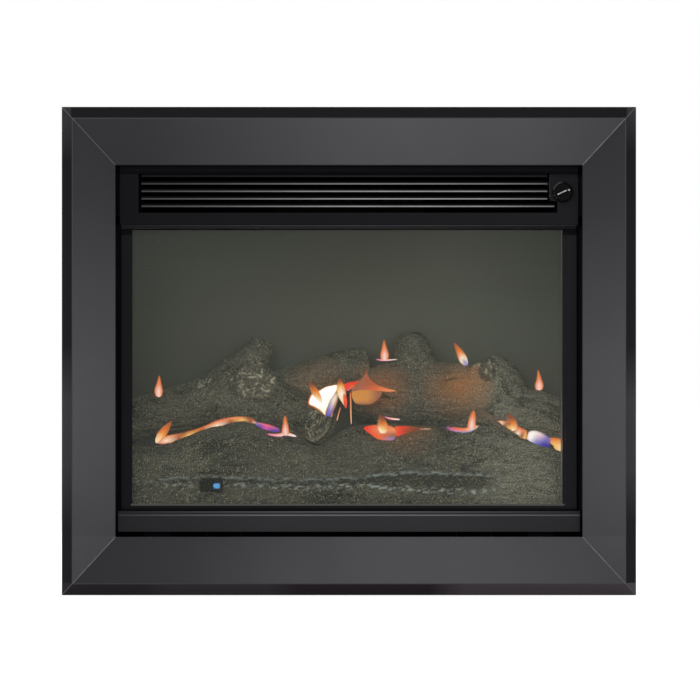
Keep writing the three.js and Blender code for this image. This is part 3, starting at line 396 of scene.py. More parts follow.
def makeGalvanised(name, blackInside):
    # zinc: pale crystals turned in many directions
    material, tree, shader = newMaterial(name, Specular_IOR_Level=0.1)
    where = place(tree)
    smallTone, largeTone = [addNode(tree, "ShaderNodeSeparateColor", {0: addNode(
        tree, "ShaderNodeTexVoronoi", {"Vector": where, "Scale": scale, "Randomness": 1.0}).outputs["Color"]})
        .outputs[0] for scale in (150.0, 48.0)]
    tone = calculate(tree, "ADD", times(tree, smallTone, 0.65), times(tree, largeTone, 0.35))
    stain = noiseOn(tree, where, 6.0, 6.0, 0.6)
    zinc = rampNode(tree, tone, (0.1, paint(158, 162, 165)), (0.9, paint(184, 187, 189)))
    zinc = mixColour(tree, remap(tree, stain, 0.45, 0.75, 0.0, 0.35), zinc, paint(120, 122, 122))
    # edges take a paler zinc, partly wear and partly painted highlight
    edgeWearAndHighlight = useGroup(tree, edgeWearAndHighlightGroup, Width=0.0008, Amount=0.5)
    zinc = mixColour(tree, edgeWearAndHighlight["Mask"], zinc, paint(215, 216, 218))
    # the inside of the casing is blackened
    parts = axesOf(tree)
    inside = calculate(tree, "LESS_THAN", calculate(tree, "ABSOLUTE", parts["X"]), casingInside["halfWidth"])
    for axis, test, limit in (
            ("Y", "LESS_THAN", "rear"), ("Z", "LESS_THAN", "top"), ("Z", "GREATER_THAN", "foot")):
        inside = times(tree, inside, calculate(tree, test, parts[axis], casingInside[limit]))
    inside = times(tree, inside, blackInside)
    setInput(tree, shader.inputs["Metallic"], calculate(tree, "SUBTRACT", 0.85, times(tree, inside, 0.85)))
    coverWith(tree, shader, mixColour(tree, inside, zinc, paint(17, 17, 18)),
              calculate(tree, "ADD", remap(tree, tone, 0.0, 1.0, 0.32, 0.5),
                        remap(tree, stain, 0.4, 0.8, 0.0, 0.15)))
    bumpInto(tree, shader, tone, 0.00003)
    return material


def makePlainMetal(name, colour, dark, roughness, scratch=240.0):
    # turned or drawn metal: fine scratches along its length and a little tarnish
    material, tree, shader = newMaterial(name, Metallic=1.0)
    streaks = noiseOn(tree, place(tree, scale=(1, 1, 8)), scratch, 3.0, 0.6)
    tarnish = noiseOn(tree, place(tree), 45.0, 5.0, 0.65)
    coverWith(tree, shader, mixColour(tree, remap(tree, tarnish, 0.45, 0.75), colour, dark),
              remap(tree, streaks, 0.3, 0.7, roughness - 0.08, roughness + 0.1))
    bumpInto(tree, shader, streaks, 0.00002)
    return material


def makeCeramic(name, light, shaded, roughness, glaze):
    material, tree, shader = newMaterial(name, Specular_IOR_Level=0.5, Coat_Weight=glaze)
    specks = noiseOn(tree, place(tree), 300.0, 4.0, 0.7)
    coverWith(tree, shader, rampNode(tree, specks, (0.35, shaded), (0.6, light)),
              remap(tree, specks, 0.3, 0.7, roughness - 0.05, roughness + 0.08))
    bumpInto(tree, shader, specks, 0.00006)
    return material


def makeCatalyst():
    # a honeycomb of small square channels, its colours darkened as painted shade
    material, tree, shader = newMaterial("honeycomb catalyst", Specular_IOR_Level=0.2)
    cells = addNode(tree, "ShaderNodeTexBrick", {
        "Vector": place(tree), "Scale": 1.0, "Color1": paint(9, 8, 7), "Color2": paint(12, 11, 9),
        "Mortar": paint(34, 31, 27), "Mortar Size": 0.0004, "Mortar Smooth": 0.2,
        "Brick Width": 0.0025, "Row Height": 0.0025}, offset=0.0)
    coverWith(tree, shader, cells.outputs["Color"], remap(tree, cells.outputs["Fac"], 0.0, 1.0, 0.95, 0.8))
    bumpInto(tree, shader, cells.outputs["Fac"], 0.0006)
    return material


def makeSealFibre():
    # plaited glass rope
    material, tree, shader = newMaterial("plaited seal rope", Specular_IOR_Level=0.15)
    plait = addNode(tree, "ShaderNodeTexWave", {
        "Vector": place(tree, rotation=(0.0, 0.7, 0.0)), "Scale": 160.0, "Distortion": 1.5, "Detail": 2.0})
    coverWith(tree, shader,
              rampNode(tree, plait.outputs["Fac"], (0.1, paint(52, 50, 47)), (0.8, paint(112, 109, 101))),
              remap(tree, plait.outputs["Fac"], 0.0, 1.0, 0.98, 0.85))
    bumpInto(tree, shader, plait.outputs["Fac"], 0.0005)
    return material


finishes["galvanised"] = makeGalvanised("galvanised sheet", 1.0)
finishes["bright_steel"] = makePlainMetal("bright steel", paint(190, 190, 192), paint(140, 136, 130), 0.3)
finishes["brass"] = makePlainMetal("dull brass", paint(196, 160, 92), paint(140, 108, 58), 0.35)
finishes["valve_alloy"] = makePlainMetal(
    "cast valve alloy", paint(168, 168, 166), paint(128, 128, 126), 0.5, 600.0)
finishes["magnet_plating"] = makePlainMetal(
    "nickel plated magnet", paint(200, 198, 194), paint(168, 164, 158), 0.18)
finishes["white_ceramic"] = makeCeramic(
    "glazed insulator", paint(222, 218, 208), paint(205, 199, 186), 0.25, 0.4)
finishes["catalyst"] = makeCatalyst()
finishes["seal_fibre"] = makeSealFibre()
finishes["black_plastic"] = paintedSheet(
    "moulded knob plastic", paint(20, 20, 21), paint(48, 48, 50), 0.42,
    grainSize=1500.0, contrast=0.1, rubbed=0.4, edge=0.0004, specular=0.06)


def makeFlecks():
    # pale mineral flecks, scattered in drifts
    group, given, made = newGroup("pale flecks", [
        ("Fineness", "NodeSocketFloat", 480.0),
        ("Amount", "NodeSocketFloat", 0.8)],
        [("Mask", "NodeSocketFloat")])
    where = objectPoint(group)
    small = noiseOn(group, where, given["Fineness"], 1.0, 0.5)
    drifts = noiseOn(group, where, 24.0, 3.0, 0.6)
    cutoff = remap(group, drifts, 0.36, 0.64, 0.635, 0.575)
    over = calculate(group, "SUBTRACT", small, cutoff)
    sharp = times(group, over, 14.0, True)
    setInput(group, made["Mask"], times(group, sharp, given["Amount"], True))
    return group


paleFlecks = makeFlecks()
fireGlowPatches = [  # painted light, the flames' orange glow on the ceramic: centre and reach in mm, and how strongly
    {"centre": (131, 4, 194), "reach": 50, "strength": 1.0},
    {"centre": (112, 14, 202), "reach": 34, "strength": 0.5},
    {"centre": (40, 10, 192), "reach": 44, "strength": 0.8},
    {"centre": (70, -60, 142), "reach": 44, "strength": 0.7},
    {"centre": (-40, 30, 200), "reach": 46, "strength": 0.3},
    {"centre": (172, -40, 160), "reach": 34, "strength": 0.35}]


def storedOn(tree, name):
    # a value that the log's own points carry
    return addNode(tree, "ShaderNodeAttribute", attribute_name=name).outputs["Fac"]


def makeLogCeramic():
    material, tree, shader = newMaterial("moulded bark ceramic", Specular_IOR_Level=0.08)
    lengthwise = addNode(tree, "ShaderNodeTexNoise", {
        "Vector": place(tree, scale=(0.15, 1, 1)), "Scale": 430.0, "Detail": 5.0,
        "Roughness": 0.7, "Distortion": 0.5}).outputs["Fac"]
    broad = noiseOn(tree, place(tree, scale=(0.35, 1, 1)), 42.0, 4.0, 0.6)
    wood = rampNode(tree, lengthwise, (0.30, paint(44, 45, 41)), (0.48, paint(76, 76, 68)),
                    (0.68, paint(112, 108, 94)))
    wood = mixColour(tree, remap(tree, broad, 0.38, 0.66, 0.0, 0.45), wood, paint(52, 54, 49))
    # painted shade: darker in the bark's furrows, in the grooves round the marks and in the cleft, with soot
    # on the sooty end
    recessShadeAndSoot = storedOn(tree, "recessShadeAndSoot")
    wood = mixColour(tree, times(tree, recessShadeAndSoot, 0.6), wood, paint(30, 32, 29))
    fireGlow = None
    where = place(tree)
    # painted light: the flames' orange glow near each patch
    for glowPatch in fireGlowPatches:
        gap = measure(tree, "DISTANCE", where, [c * mm for c in glowPatch["centre"]])
        near = remap(tree, gap, glowPatch["reach"] * mm, 0.0, 0.0, glowPatch["strength"])
        fireGlow = near if fireGlow is None else calculate(tree, "MAXIMUM", fireGlow, near)
    uneven = remap(tree, broad, 0.3, 0.7, 0.6, 1.3)
    wood = mixColour(tree, times(tree, fireGlow, uneven, True), wood, paint(158, 100, 52))
    speckle = noiseOn(tree, place(tree), 900.0, 1.0, 0.5)
    wood = mixColour(tree, remap(tree, speckle, 0.46, 0.30, 0.0, 0.6), wood, paint(42, 44, 40))
    wood = mixColour(tree, remap(tree, speckle, 0.55, 0.68, 0.0, 0.62), wood, paint(150, 144, 116))
    wood = mixColour(tree, remap(tree, recessShadeAndSoot, 0.7, 1.0, 0.0, 0.75), wood, paint(38, 36, 31))
    # painted light: the logs behind are painted lighter, as if they catch more of the fire's light, the right
    # one most of all
    parts = axesOf(tree, where)
    glow = times(tree, remap(tree, parts["Y"], -0.045, 0.0, 0.94, 1.32),
                 remap(tree, parts["X"], 0.12, 0.18, 1.0, 2.2))
    flecks = useGroup(tree, paleFlecks, Fineness=560.0, Amount=0.5)
    wood = mixColour(tree, flecks["Mask"], scaled(tree, wood, glow), paint(196, 186, 146))
    wood = mixColour(tree, storedOn(tree, "pale"), wood, paint(214, 207, 174))
    wood = mixColour(tree, storedOn(tree, "frayed"), wood, paint(190, 202, 194))
    coverWith(tree, shader, wood, remap(tree, lengthwise, 0.3, 0.7, 0.98, 0.86))
    bumpInto(tree, shader, lengthwise, 0.0012)
    return material


finishes["log_ceramic"] = makeLogCeramic()
finishes["ember_ceramic"] = makeCeramic("ember ceramic", paint(62, 61, 56), paint(38, 37, 35), 0.95, 0.0)


def makeWindowGlass():
    # clear heat proof glass with a faint grey green film
    material, tree, shader = newMaterial("heat proof glass", Roughness=0.06, Specular_IOR_Level=0.5)
    film = noiseOn(tree, place(tree), 4.0, 3.0, 0.5)
    setInput(tree, shader.inputs["Base Color"],
             rampNode(tree, film, (0.3, paint(116, 122, 110)), (0.7, paint(128, 134, 122))))
    facing = addNode(tree, "ShaderNodeLayerWeight", {"Blend": 0.5}).outputs["Facing"]
    setInput(tree, shader.inputs["Alpha"],
             remap(tree, calculate(tree, "POWER", facing, 3.0), 0.0, 1.0, 0.09, 0.9))
    return material


finishes["window_glass"] = makeWindowGlass()
print("finishes made:", len(finishes))


# the frame's own nodes get their finishes and softened edges

def softenEdges(piece, width):
    # the CAD triangles are welded, flattened back into plain faces and then rounded
    piece.modifiers.new("weld", "WELD").merge_threshold = 0.00001
    flat = piece.modifiers.new("flat faces", "DECIMATE")
    flat.decimate_type = "DISSOLVE"
    flat.angle_limit = math.radians(0.5)
    rounding = piece.modifiers.new("rounding", "BEVEL")
    rounding.width = width
    rounding.segments = 2
    rounding.limit_method = "ANGLE"
    rounding.angle_limit = math.radians(40)


def dress(piece, finish):
    piece.data.materials.clear()
    piece.data.materials.append(finish)


slotOf = {row["node"]: row["material_slot"] for row in frame["record"]["subparts"]}
roundedSlots = {
    "graphite_paint": 0.5, "black_paint": 0.3, "blade_paint": 0.3, "galvanised": 0.3,
    "liner_paint": 0.3, "valve_alloy": 0.5}
for name, slot in slotOf.items():
    dress(cadNodes[name], finishes[slot])
    if slot in roundedSlots:
        softenEdges(cadNodes[name], roundedSlots[slot] * mm)
# the fascia, window frame and fret carry painted light and shade; the louvre's combs take the near black
# painted shade
ownFinishes = {
    "fascia_panel": fasciaPaint, "window_frame": windowPaint, "lower_fret": fretPaint,
    "louvre_comb_left": shadeBlack, "louvre_comb_right": shadeBlack,
    "pilot_burner": sootedSteel, "pilot_bracket": sootedSteel, "thermocouple": sootedSteel}
for name, finish in ownFinishes.items():
    dress(cadNodes[name], finish)
print("frame nodes dressed")


# shaping helpers

def meshOf(name, shape):
    mesh = bpy.data.meshes.new(name)
    shape.to_mesh(mesh)
    shape.free()
    return mesh


def linkObject(name, data):
    made = bpy.data.objects.new(name, data)
    bpy.context.scene.collection.objects.link(made)
    return made


def newPiece(name, shape, finish, body, slot, *replaced):
    # turns a shape drawn in mm into a piece that rides on a body and takes the given finish; the slot is not
    # used
    bmesh.ops.scale(shape, verts=shape.verts, vec=(mm, mm, mm))
    return takeMesh(name, meshOf(name, shape), finish, body, slot, *replaced)


def takeMesh(name, mesh, finish, body, slot, *replaced):
    piece = linkObject(name, mesh)
    if finish:
        mesh.materials.append(finish)
    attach(piece, body)
    if replaced:
        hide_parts(*replaced)
    return piece


def shadeSmooth(piece):
    piece.data.polygons.foreach_set("use_smooth", [True] * len(piece.data.polygons))


def addBox(shape, low, high):
    made = bmesh.ops.create_cube(shape, size=1.0)["verts"]
    low, high = Vector(low), Vector(high)
    bmesh.ops.scale(shape, verts=made, vec=high - low)
    bmesh.ops.translate(shape, verts=made, vec=(low + high) / 2)
    return made


def addRound(shape, sides, radiusLow, radiusHigh, depth):
    # a closed round bar along Z about the origin
    return bmesh.ops.create_cone(
        shape, cap_ends=True, segments=sides, radius1=radiusLow, radius2=radiusHigh, depth=depth)["verts"]


def turnVerts(shape, verts, angle, axis):
    bmesh.ops.rotate(shape, verts=verts, cent=(0, 0, 0), matrix=Matrix.Rotation(angle, 3, axis))


def roundOff(shape, edges, offset, segments):
    bmesh.ops.bevel(
        shape, geom=edges, offset=offset, affect="EDGES", segments=segments, profile=0.5, material=-1)


def drawOut(shape, face, reach):
    # the face is drawn out into a solid
    drawn = bmesh.ops.extrude_face_region(shape, geom=[face])["geom"]
    bmesh.ops.translate(shape, verts=[v for v in drawn if isinstance(v, bmesh.types.BMVert)], vec=reach)


def insetFace(shape, face, thickness):
    return bmesh.ops.inset_region(
        shape, faces=[face], thickness=thickness, use_boundary=True, use_even_offset=True)["faces"]


def cutAcross(shape, point, normal, fineness=0.001, clear=False):
    # a cut along a plane; where the outer side is cleared, the cut is closed again
    everything = shape.verts[:] + shape.edges[:] + shape.faces[:]
    cut = bmesh.ops.bisect_plane(
        shape, geom=everything, dist=fineness, plane_co=point, plane_no=normal, clear_outer=clear)["geom_cut"]
    edges = [e for e in cut if isinstance(e, bmesh.types.BMEdge)]
    if clear and edges:
        bmesh.ops.holes_fill(shape, edges=edges, sides=0)


def smoothStep(low, high, value):
    t = min(1.0, max(0.0, (value - low) / (high - low)))
    return t * t * (3 - 2 * t)


def splineAt(points, t):
    # a smooth line through points, with t from 0 to 1; every point is a list of numbers
    run = min(max(t, 0.0), 1.0) * (len(points) - 1)
    i = min(int(run), len(points) - 2)
    u = run - i
    before, after = points[max(i - 1, 0)], points[min(i + 2, len(points) - 1)]
    return [0.5 * ((2 * b) + (c - a) * u + (2 * a - 5 * b + 4 * c - d) * u * u
                   + (3 * b - a - 3 * c + d) * u ** 3)
            for a, b, c, d in zip(before, points[i], points[i + 1], after)]


# the louvre's blades with turned down noses, and the control knob

bladeFold = {"noseUp": 1.1, "radius": 0.12}
bladeSection = [  # from the blade's front and the nose's middle, in mm: [back, up]
    [1.0, 1.05], [0.35, 0.4], [0.0, -0.75], [0.1, -2.2], [0.75, -2.45], [1.5, -2.1], [1.5, -0.9],
    [3.0, -0.5], [15.0, 1.9], [15.0, 2.9], [3.0, 0.6]]


def makeBlade(name):
    low, high = (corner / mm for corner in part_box(name))
    nose = low.z + bladeFold["noseUp"]
    shape = bmesh.new()
    section = shape.faces.new([
        shape.verts.new((low.x, low.y + back, nose + up)) for back, up in bladeSection])
    drawOut(shape, section, (high.x - low.x, 0, 0))
    folds = [e for e in shape.edges if abs(e.verts[0].co.x - e.verts[1].co.x) > 1
             and e.verts[0].co.y < low.y + 1.2]
    roundOff(shape, folds, bladeFold["radius"], 2)
    bmesh.ops.recalc_face_normals(shape, faces=shape.faces)
    # the nose's front faces take the painted highlight
    for face in shape.faces:
        middle = face.calc_center_median()
        front = face.normal.y < -0.7 and middle.z < nose - 0.5 and len(face.verts) == 4
        face.material_index = 1 if front else 0
    blade = newPiece("folded_" + name[7:], shape, None, "casing", "blade_paint", name)
    for finish in bladePaints:
        blade.data.materials.append(finish)


for number in range(1, 6):
    makeBlade("louvre_blade_%d" % number)


shadeSheets = {
    # painted shade: near black sheets put where there is only shade; low and high corners in mm of a folded
    # sheet behind the louvre's right end, and of the strips that close the gap beside each end of the fascia
    "louvre_end_shield": [((236.5, -90.1, 401.6), (264.0, -89.3, 419.5)),
                          ((236.5, -90.1, 401.6), (237.3, -84.5, 419.5))],
    "fascia_end_strips": [((-290.0, -94.6, 389.0), (-274.7, -93.9, 458.0)),
                          ((274.7, -94.6, 389.0), (290.0, -93.9, 458.0))]}


def makeShadeSheet(name):
    shape = bmesh.new()
    for low, high in shadeSheets[name]:
        addBox(shape, low, high)
    newPiece(name, shape, shadeBlack, "casing", "black_paint")


makeShadeSheet("louvre_end_shield")

knobShape = {  # in mm from the knob's middle, and the bar's turn in degrees
    "radius": 10.5, "front": -117.4, "rear": -104.2, "wall": 2.0, "bore": 3.3, "lip": 1.0, "sunk": 0.7,
    "bar": (-7.5, 5.0), "barHalf": 0.95, "barFront": -120.7, "barTurn": 24.8,
    "dot": (7.3, 2.5), "dotFoot": 1.1, "dotTop": 0.8, "dotDepth": 2.4, "line": ((-6.1, 5.8), (-1.6, 2.1)),
    "lineHalf": 0.3, "edge": 0.5}


def makeKnobPaints():
    # the disc is black; the bar's ridge and the dot are rubbed white
    disc = paintedSheet("knob black", paint(15, 15, 16), paint(34, 34, 36), 0.6, grainSize=1500.0,
                        contrast=0.1, rubbed=0.6, edge=0.0005, specular=0.03)
    white, tree, shader = newMaterial("rubbed grip", Specular_IOR_Level=0.2)
    rub = noiseOn(tree, place(tree), 420.0, 2.0, 0.5)
    coverWith(tree, shader,
              rampNode(tree, rub, (0.3, paint(130, 130, 132)), (0.62, paint(214, 214, 216))),
              remap(tree, rub, 0.3, 0.7, 0.3, 0.5))
    return [disc, white]


def makeBezelPaint():
    # black, with a painted highlight on the rim at the upper left
    material, tree, shader = newMaterial("bezel black", Specular_IOR_Level=0.02)
    low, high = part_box("knob_bezel")
    fromMiddle = addNode(tree, "ShaderNodeVectorMath", {
        0: place(tree), 1: (low + high) / 2}, operation="SUBTRACT").outputs["Vector"]
    upLeft = measure(tree, "DOT_PRODUCT", fromMiddle, (-0.62, 0.0, 0.78))
    lit = remap(tree, upLeft, 0.0088, 0.0112)
    grain = grainOn(tree, mixColour(tree, lit, paint(15, 15, 16), paint(84, 83, 86)), 900.0, 0.2, 0.5)
    coverWith(tree, shader, grain["Colour"], grain["Roughness"])
    return material


def makeKnob():
    low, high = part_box("control_knob")
    middle = (low + high) / 2 / mm
    form = knobShape
    quarter = math.radians(90)
    shape = bmesh.new()
    depth = form["rear"] - form["front"]
    addRound(shape, 72, form["radius"], form["radius"], depth)
    turnVerts(shape, shape.verts, quarter, "X")
    bmesh.ops.recalc_face_normals(shape, faces=shape.faces)
    front, rear = sorted([f for f in shape.faces if len(f.verts) > 4], key=lambda f: f.calc_center_median().y)
    bmesh.ops.inset_region(shape, faces=[front], thickness=form["lip"], use_even_offset=True)
    for vert in front.verts:
        vert.co.y += form["sunk"]
    bmesh.ops.inset_region(shape, faces=[rear], thickness=form["radius"] - form["bore"], use_even_offset=True)
    drawOut(shape, rear, (0, form["wall"] - depth, 0))
    bmesh.ops.delete(shape, geom=[rear], context="FACES_ONLY")
    rim = [e for e in shape.edges if all(
        abs(math.hypot(v.co.x, v.co.z) - form["radius"]) < 0.01 and v.co.y < 0 for v in e.verts)]
    roundOff(shape, rim, form["edge"], 3)
    bmesh.ops.translate(shape, verts=shape.verts, vec=(0, (form["rear"] + form["front"]) / 2, 0))
    bar = addBox(shape, (form["bar"][0], form["barFront"], -form["barHalf"]),
                 (form["bar"][1], form["front"] + 1.0, form["barHalf"]))
    ridge = {e for v in bar for e in v.link_edges if min(w.co.y for w in e.verts) < form["barFront"] + 0.1}
    roundOff(shape, list(ridge), form["edge"], 3)
    bar = {v for f in shape.faces if min(w.co.y for w in f.verts) < form["front"] - 0.2 for v in f.verts}
    turnVerts(shape, list(bar), -math.radians(form["barTurn"]), "Y")
    dot = addRound(shape, 20, form["dotTop"], form["dotFoot"], form["dotDepth"])
    turnVerts(shape, dot, quarter, "X")
    bmesh.ops.translate(shape, verts=dot, vec=(form["dot"][0], form["front"] + 0.3, form["dot"][1]))
    start, end = (Vector((x, 0, z)) for x, z in form["line"])
    run = end - start
    line = addBox(shape, (-run.length / 2, form["front"] - 0.3, -form["lineHalf"]),
                  (run.length / 2, form["front"] + 1.2, form["lineHalf"]))
    turnVerts(shape, line, -math.atan2(run.z, run.x), "Y")
    bmesh.ops.translate(shape, verts=line, vec=(start + end) / 2)
    bmesh.ops.recalc_face_normals(shape, faces=shape.faces)
    for face in shape.faces:
        centre = face.calc_center_median()
        forward = face.normal.y < -0.75
        onRidge = forward and centre.y < form["barFront"] + 0.4
        fromDot = math.hypot(centre.x - form["dot"][0], centre.z - form["dot"][1])
        onDot = forward and fromDot < form["dotTop"]
        face.material_index = 1 if onRidge or (onDot and centre.y < form["front"]) else 0
        face.smooth = False
    bmesh.ops.translate(shape, verts=shape.verts, vec=(middle.x, 0, middle.z))
    knob = newPiece("turned_knob", shape, None, "knob", "black_plastic", "control_knob")
    for finish in makeKnobPaints():
        knob.data.materials.append(finish)


makeKnob()
dress(cadNodes["knob_bezel"], makeBezelPaint())
print("louvre and knob made")


# the casing from behind: a swaged back sheet, rivets along its edge, screws in the seams

backSheet = {  # in mm
    "sheet": 0.8, "band": 34.0, "slope": 7.0, "sunk": 4.0, "rivetHead": 3.2, "rivetHeight": 0.4, "edge": 9.0,
    "rivetTaper": 0.62, "rivetsAcross": 7, "rivetsUp": 5, "barHalf": 15, "barFoot": 22}


def makeBackSheet():
    low, high = (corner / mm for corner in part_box("casing_back"))
    form = backSheet
    shape = bmesh.new()
    face = shape.faces.new([shape.verts.new((x, low.y, z)) for x, z in (
        (high.x, low.z), (low.x, low.z), (low.x, high.z), (high.x, high.z))])
    shape.normal_update()
    for thickness in (form["band"], form["slope"]):
        insetFace(shape, face, thickness)
    for vert in face.verts:
        vert.co.y -= form["sunk"]
    # a raised cross bar stiffens the sunk middle
    middle = (low.z + high.z) / 2
    for away in (form["barFoot"], form["barHalf"], -form["barHalf"], -form["barFoot"]):
        cutAcross(shape, (0, 0, middle + away), (0, 0, 1))
    for vert in shape.verts:
        onBar = abs(vert.co.z - middle) < form["barHalf"] + 0.1
        if onBar and abs(vert.co.x) < high.x - form["band"] - form["slope"] + 0.1:
            vert.co.y = low.y
    bmesh.ops.recalc_face_normals(shape, faces=shape.faces)
    outward = sum(f.normal.y for f in shape.faces) > 0
    bmesh.ops.solidify(shape, geom=shape.faces[:], thickness=-form["sheet"] if outward else form["sheet"])
    bmesh.ops.recalc_face_normals(shape, faces=shape.faces)
    lift = high.y - form["rivetHeight"] - max(v.co.y for v in shape.verts)
    bmesh.ops.translate(shape, verts=shape.verts, vec=(0, lift, 0))
    for face in shape.faces:
        face.material_index = 1 if face.normal.y < -0.3 else 0
    sheet = newPiece(
        "swaged_back", shape, makeGalvanised("galvanised back", 0.0), "casing", "galvanised", "casing_back")
    # its faces turned into the casing take the same near black
    sheet.data.materials.append(shadeBlack)
    rivets = bmesh.new()
    edge = form["edge"]
    across, up = (
        [start + edge + (end - start - 2 * edge) * i / (count - 1) for i in range(count)]
        for start, end, count in ((low.x, high.x, form["rivetsAcross"]), (low.z, high.z, form["rivetsUp"])))
    places = [(x, z) for x in across for z in (up[0], up[-1])]
    places += [(x, z) for z in up[1:-1] for x in (across[0], across[-1])]
    for x, z in places:
        head = addRound(
            rivets, 20, form["rivetHead"], form["rivetHead"] * form["rivetTaper"], form["rivetHeight"])
        turnVerts(rivets, head, math.radians(-90), "X")
        bmesh.ops.translate(rivets, verts=head, vec=(x, high.y - form["rivetHeight"] / 2, z))
    shadeSmooth(newPiece("back_rivets", rivets, finishes["bright_steel"], "casing", "bright_steel"))


# radii at the foot and the top, height, the head's rim and hollow, how it is seated and how far from an edge
panScrew = {"foot": 3.6, "top": 2.9, "height": 1.6, "rim": 1.4, "sunk": 0.8, "seat": 0.75, "edge": 12.0}


def addScrew(shape, spot, outward):
    # a pan screw with a hollow head standing on a sheet
    form = panScrew
    made = addRound(shape, 24, form["foot"], form["top"], form["height"])
    cap = max((f for v in made for f in v.link_faces), key=lambda f: f.calc_center_median().z)
    inner = insetFace(shape, cap, form["rim"])
    for vert in cap.verts:
        vert.co.z -= form["sunk"]
    made = list({v for f in inner for v in f.verts} | set(made) | set(cap.verts))
    turn = Vector((0, 0, 1)).rotation_difference(Vector(outward)).to_matrix()
    bmesh.ops.rotate(shape, verts=made, cent=(0, 0, 0), matrix=turn)
    bmesh.ops.translate(shape, verts=made, vec=Vector(spot) + Vector(outward) * form["seat"])


def makeCasingScrews():
    half, top = casingHigh.x / mm, casingHigh.z / mm
    shape = bmesh.new()
    for y in (-70, 5, 80):
        for side in (-1, 1):
            for z in (panScrew["edge"], top - panScrew["edge"]):
                addScrew(shape, (side * half, y, z), (side, 0, 0))
    for y in (-60, 70):
        for x in (-250, -90, 90, 250):
            addScrew(shape, (x, y, top), (0, 0, 1))
    newPiece("casing_screws", shape, finishes["bright_steel"], "casing", "bright_steel")


makeBackSheet()
makeCasingScrews()
makeShadeSheet("fascia_end_strips")
print("casing fixings made")


# beads that hold the glass in the window's frame

def makeBeadPaint():
    # painted fire light: the beads are painted paler, as if they catch the fire's light, most of all low down
    # at the right
    material, tree, shader = newMaterial("fire lit bead", Specular_IOR_Level=0.05)
    grain = noiseOn(tree, place(tree), 180.0, 3.0, 0.6)
    tint = rampNode(tree, remap(tree, axesOf(tree)["Z"], 0.05, 0.38),
                    (0.05, paint(92, 91, 87)), (0.2, paint(118, 113, 106)), (0.45, paint(82, 81, 76)))
    coverWith(tree, shader, mixColour(tree, remap(tree, grain, 0.4, 0.7, 0.0, 0.3), tint, paint(70, 70, 66)),
              remap(tree, grain, 0.3, 0.7, 0.5, 0.7))
    return material


beadPaint = makeBeadPaint()
windowBeads = {
    # low corner and high corner in mm, then the finish; the head bead takes the near black painted shade, the
    # foot and right beads the painted fire light
    "head_bead": [(-261.5, -99.7, 382.7), (261.5, -98.3, 384.1), shadeBlack],
    "foot_bead": [(-261.5, -100.5, 52.0), (257.5, -99.9, 54.3), beadPaint],
    "right_bead": [(253.9, -100.7, 54.4), (255.7, -98.3, 382.6), beadPaint],
    "right_stop": [(255.9, -100.9, 54.4), (259.6, -98.3, 382.6), windowPaint]}
beadEdge = 0.2
for name, (low, high, finish) in windowBeads.items():
    shape = bmesh.new()
    addBox(shape, low, high)
    roundOff(shape, shape.edges[:], beadEdge, 2)
    newPiece("window_" + name, shape, finish, "window", "black_paint")
print("window beads made")


# the mitred frame: four folded rails with polished bevels painted dark with painted reflection and shade, and
# a seam at each mitre that is rubbed and carries a painted highlight

trimRails = {
    "sheet": 1.5, "bevel": 13.6, "setback": 0.7, "foldRadius": 0.9, "seam": 0.6, "mitreGap": 0.002,
    "fineness": 0.0001, "lengths": 10}


def makeRailFinish():
    # painted light: every rail is painted darker towards its ends, lighter on the bottom rail and a little
    # lighter towards its outer edge; u of the map runs along it, v across it
    material, tree, shader = newMaterial("graphite rail coat", Specular_IOR_Level=0.08)
    uv = axesOf(tree, addNode(tree, "ShaderNodeUVMap", uv_map="rail").outputs["UV"])
    drift = noiseOn(tree, place(tree), 7.0, 2.0, 0.5)
    run = calculate(tree, "ADD", uv["X"], remap(tree, drift, 0.3, 0.7, -0.02, 0.02))
    tint = rampNode(tree, run, *evenStops([coolGrey(level) for level in (45, 58, 77, 78, 65)]))
    tint.node.color_ramp.interpolation = "CARDINAL"
    light = times(tree, remap(tree, heightBand(tree, -60.0, 16.0), 0.0, 1.0, 1.0, 1.14),
                  remap(tree, uv["Y"], 0.15, 1.0, 1.05, 0.95))
    grain = grainOn(tree, scaled(tree, tint, light), 1000.0, 0.2, 0.55)
    coverWith(tree, shader, grain["Colour"], grain["Roughness"])
    bumpInto(tree, shader, grain["Height"], 0.00008)
    return material


def makeBevelFinish():
    # painted reflection and shade on the polished bevels: dark above, paler low down and towards the lower
    # right
    material, tree, shader = newMaterial("polished bevel", Specular_IOR_Level=0.03)
    parts = axesOf(tree)
    aside = calculate(tree, "ABSOLUTE", parts["X"])
    patches = noiseOn(tree, place(tree), 6.0, 1.5, 0.4)
    up = calculate(tree, "ADD", parts["Z"], remap(tree, patches, 0.3, 0.7, -0.008, 0.008))
    sides = rampNode(tree, remap(tree, up, -0.055, 0.53), *[(at, coolGrey(level)) for at, level in (
        (0.05, 29), (0.15, 30), (0.27, 60), (0.4, 64), (0.51, 29), (0.9, 26), (0.98, 54))])
    sides = scaled(tree, sides, remap(tree, aside, 0.331, 0.344, 0.94, 1.07))
    foot = acrossFront(tree, (0.08, paint(47, 44, 48)), (0.14, paint(61, 56, 61)), (0.34, paint(61, 56, 61)),
                       (0.4, paint(44, 38, 43)), (0.66, paint(44, 38, 43)), (0.73, paint(80, 74, 80)))
    tint = mixColour(tree, heightBand(tree, -60.0, -40.0), sides, foot)
    crown = times(tree, heightBand(tree, 516.0, 540.0), remap(tree, aside, 0.334, 0.332))
    tint = mixColour(tree, crown, tint, paint(25, 25, 27))
    grain = grainOn(tree, tint, 700.0, 0.08, 0.3)
    coverWith(tree, shader, grain["Colour"], grain["Roughness"])
    return material


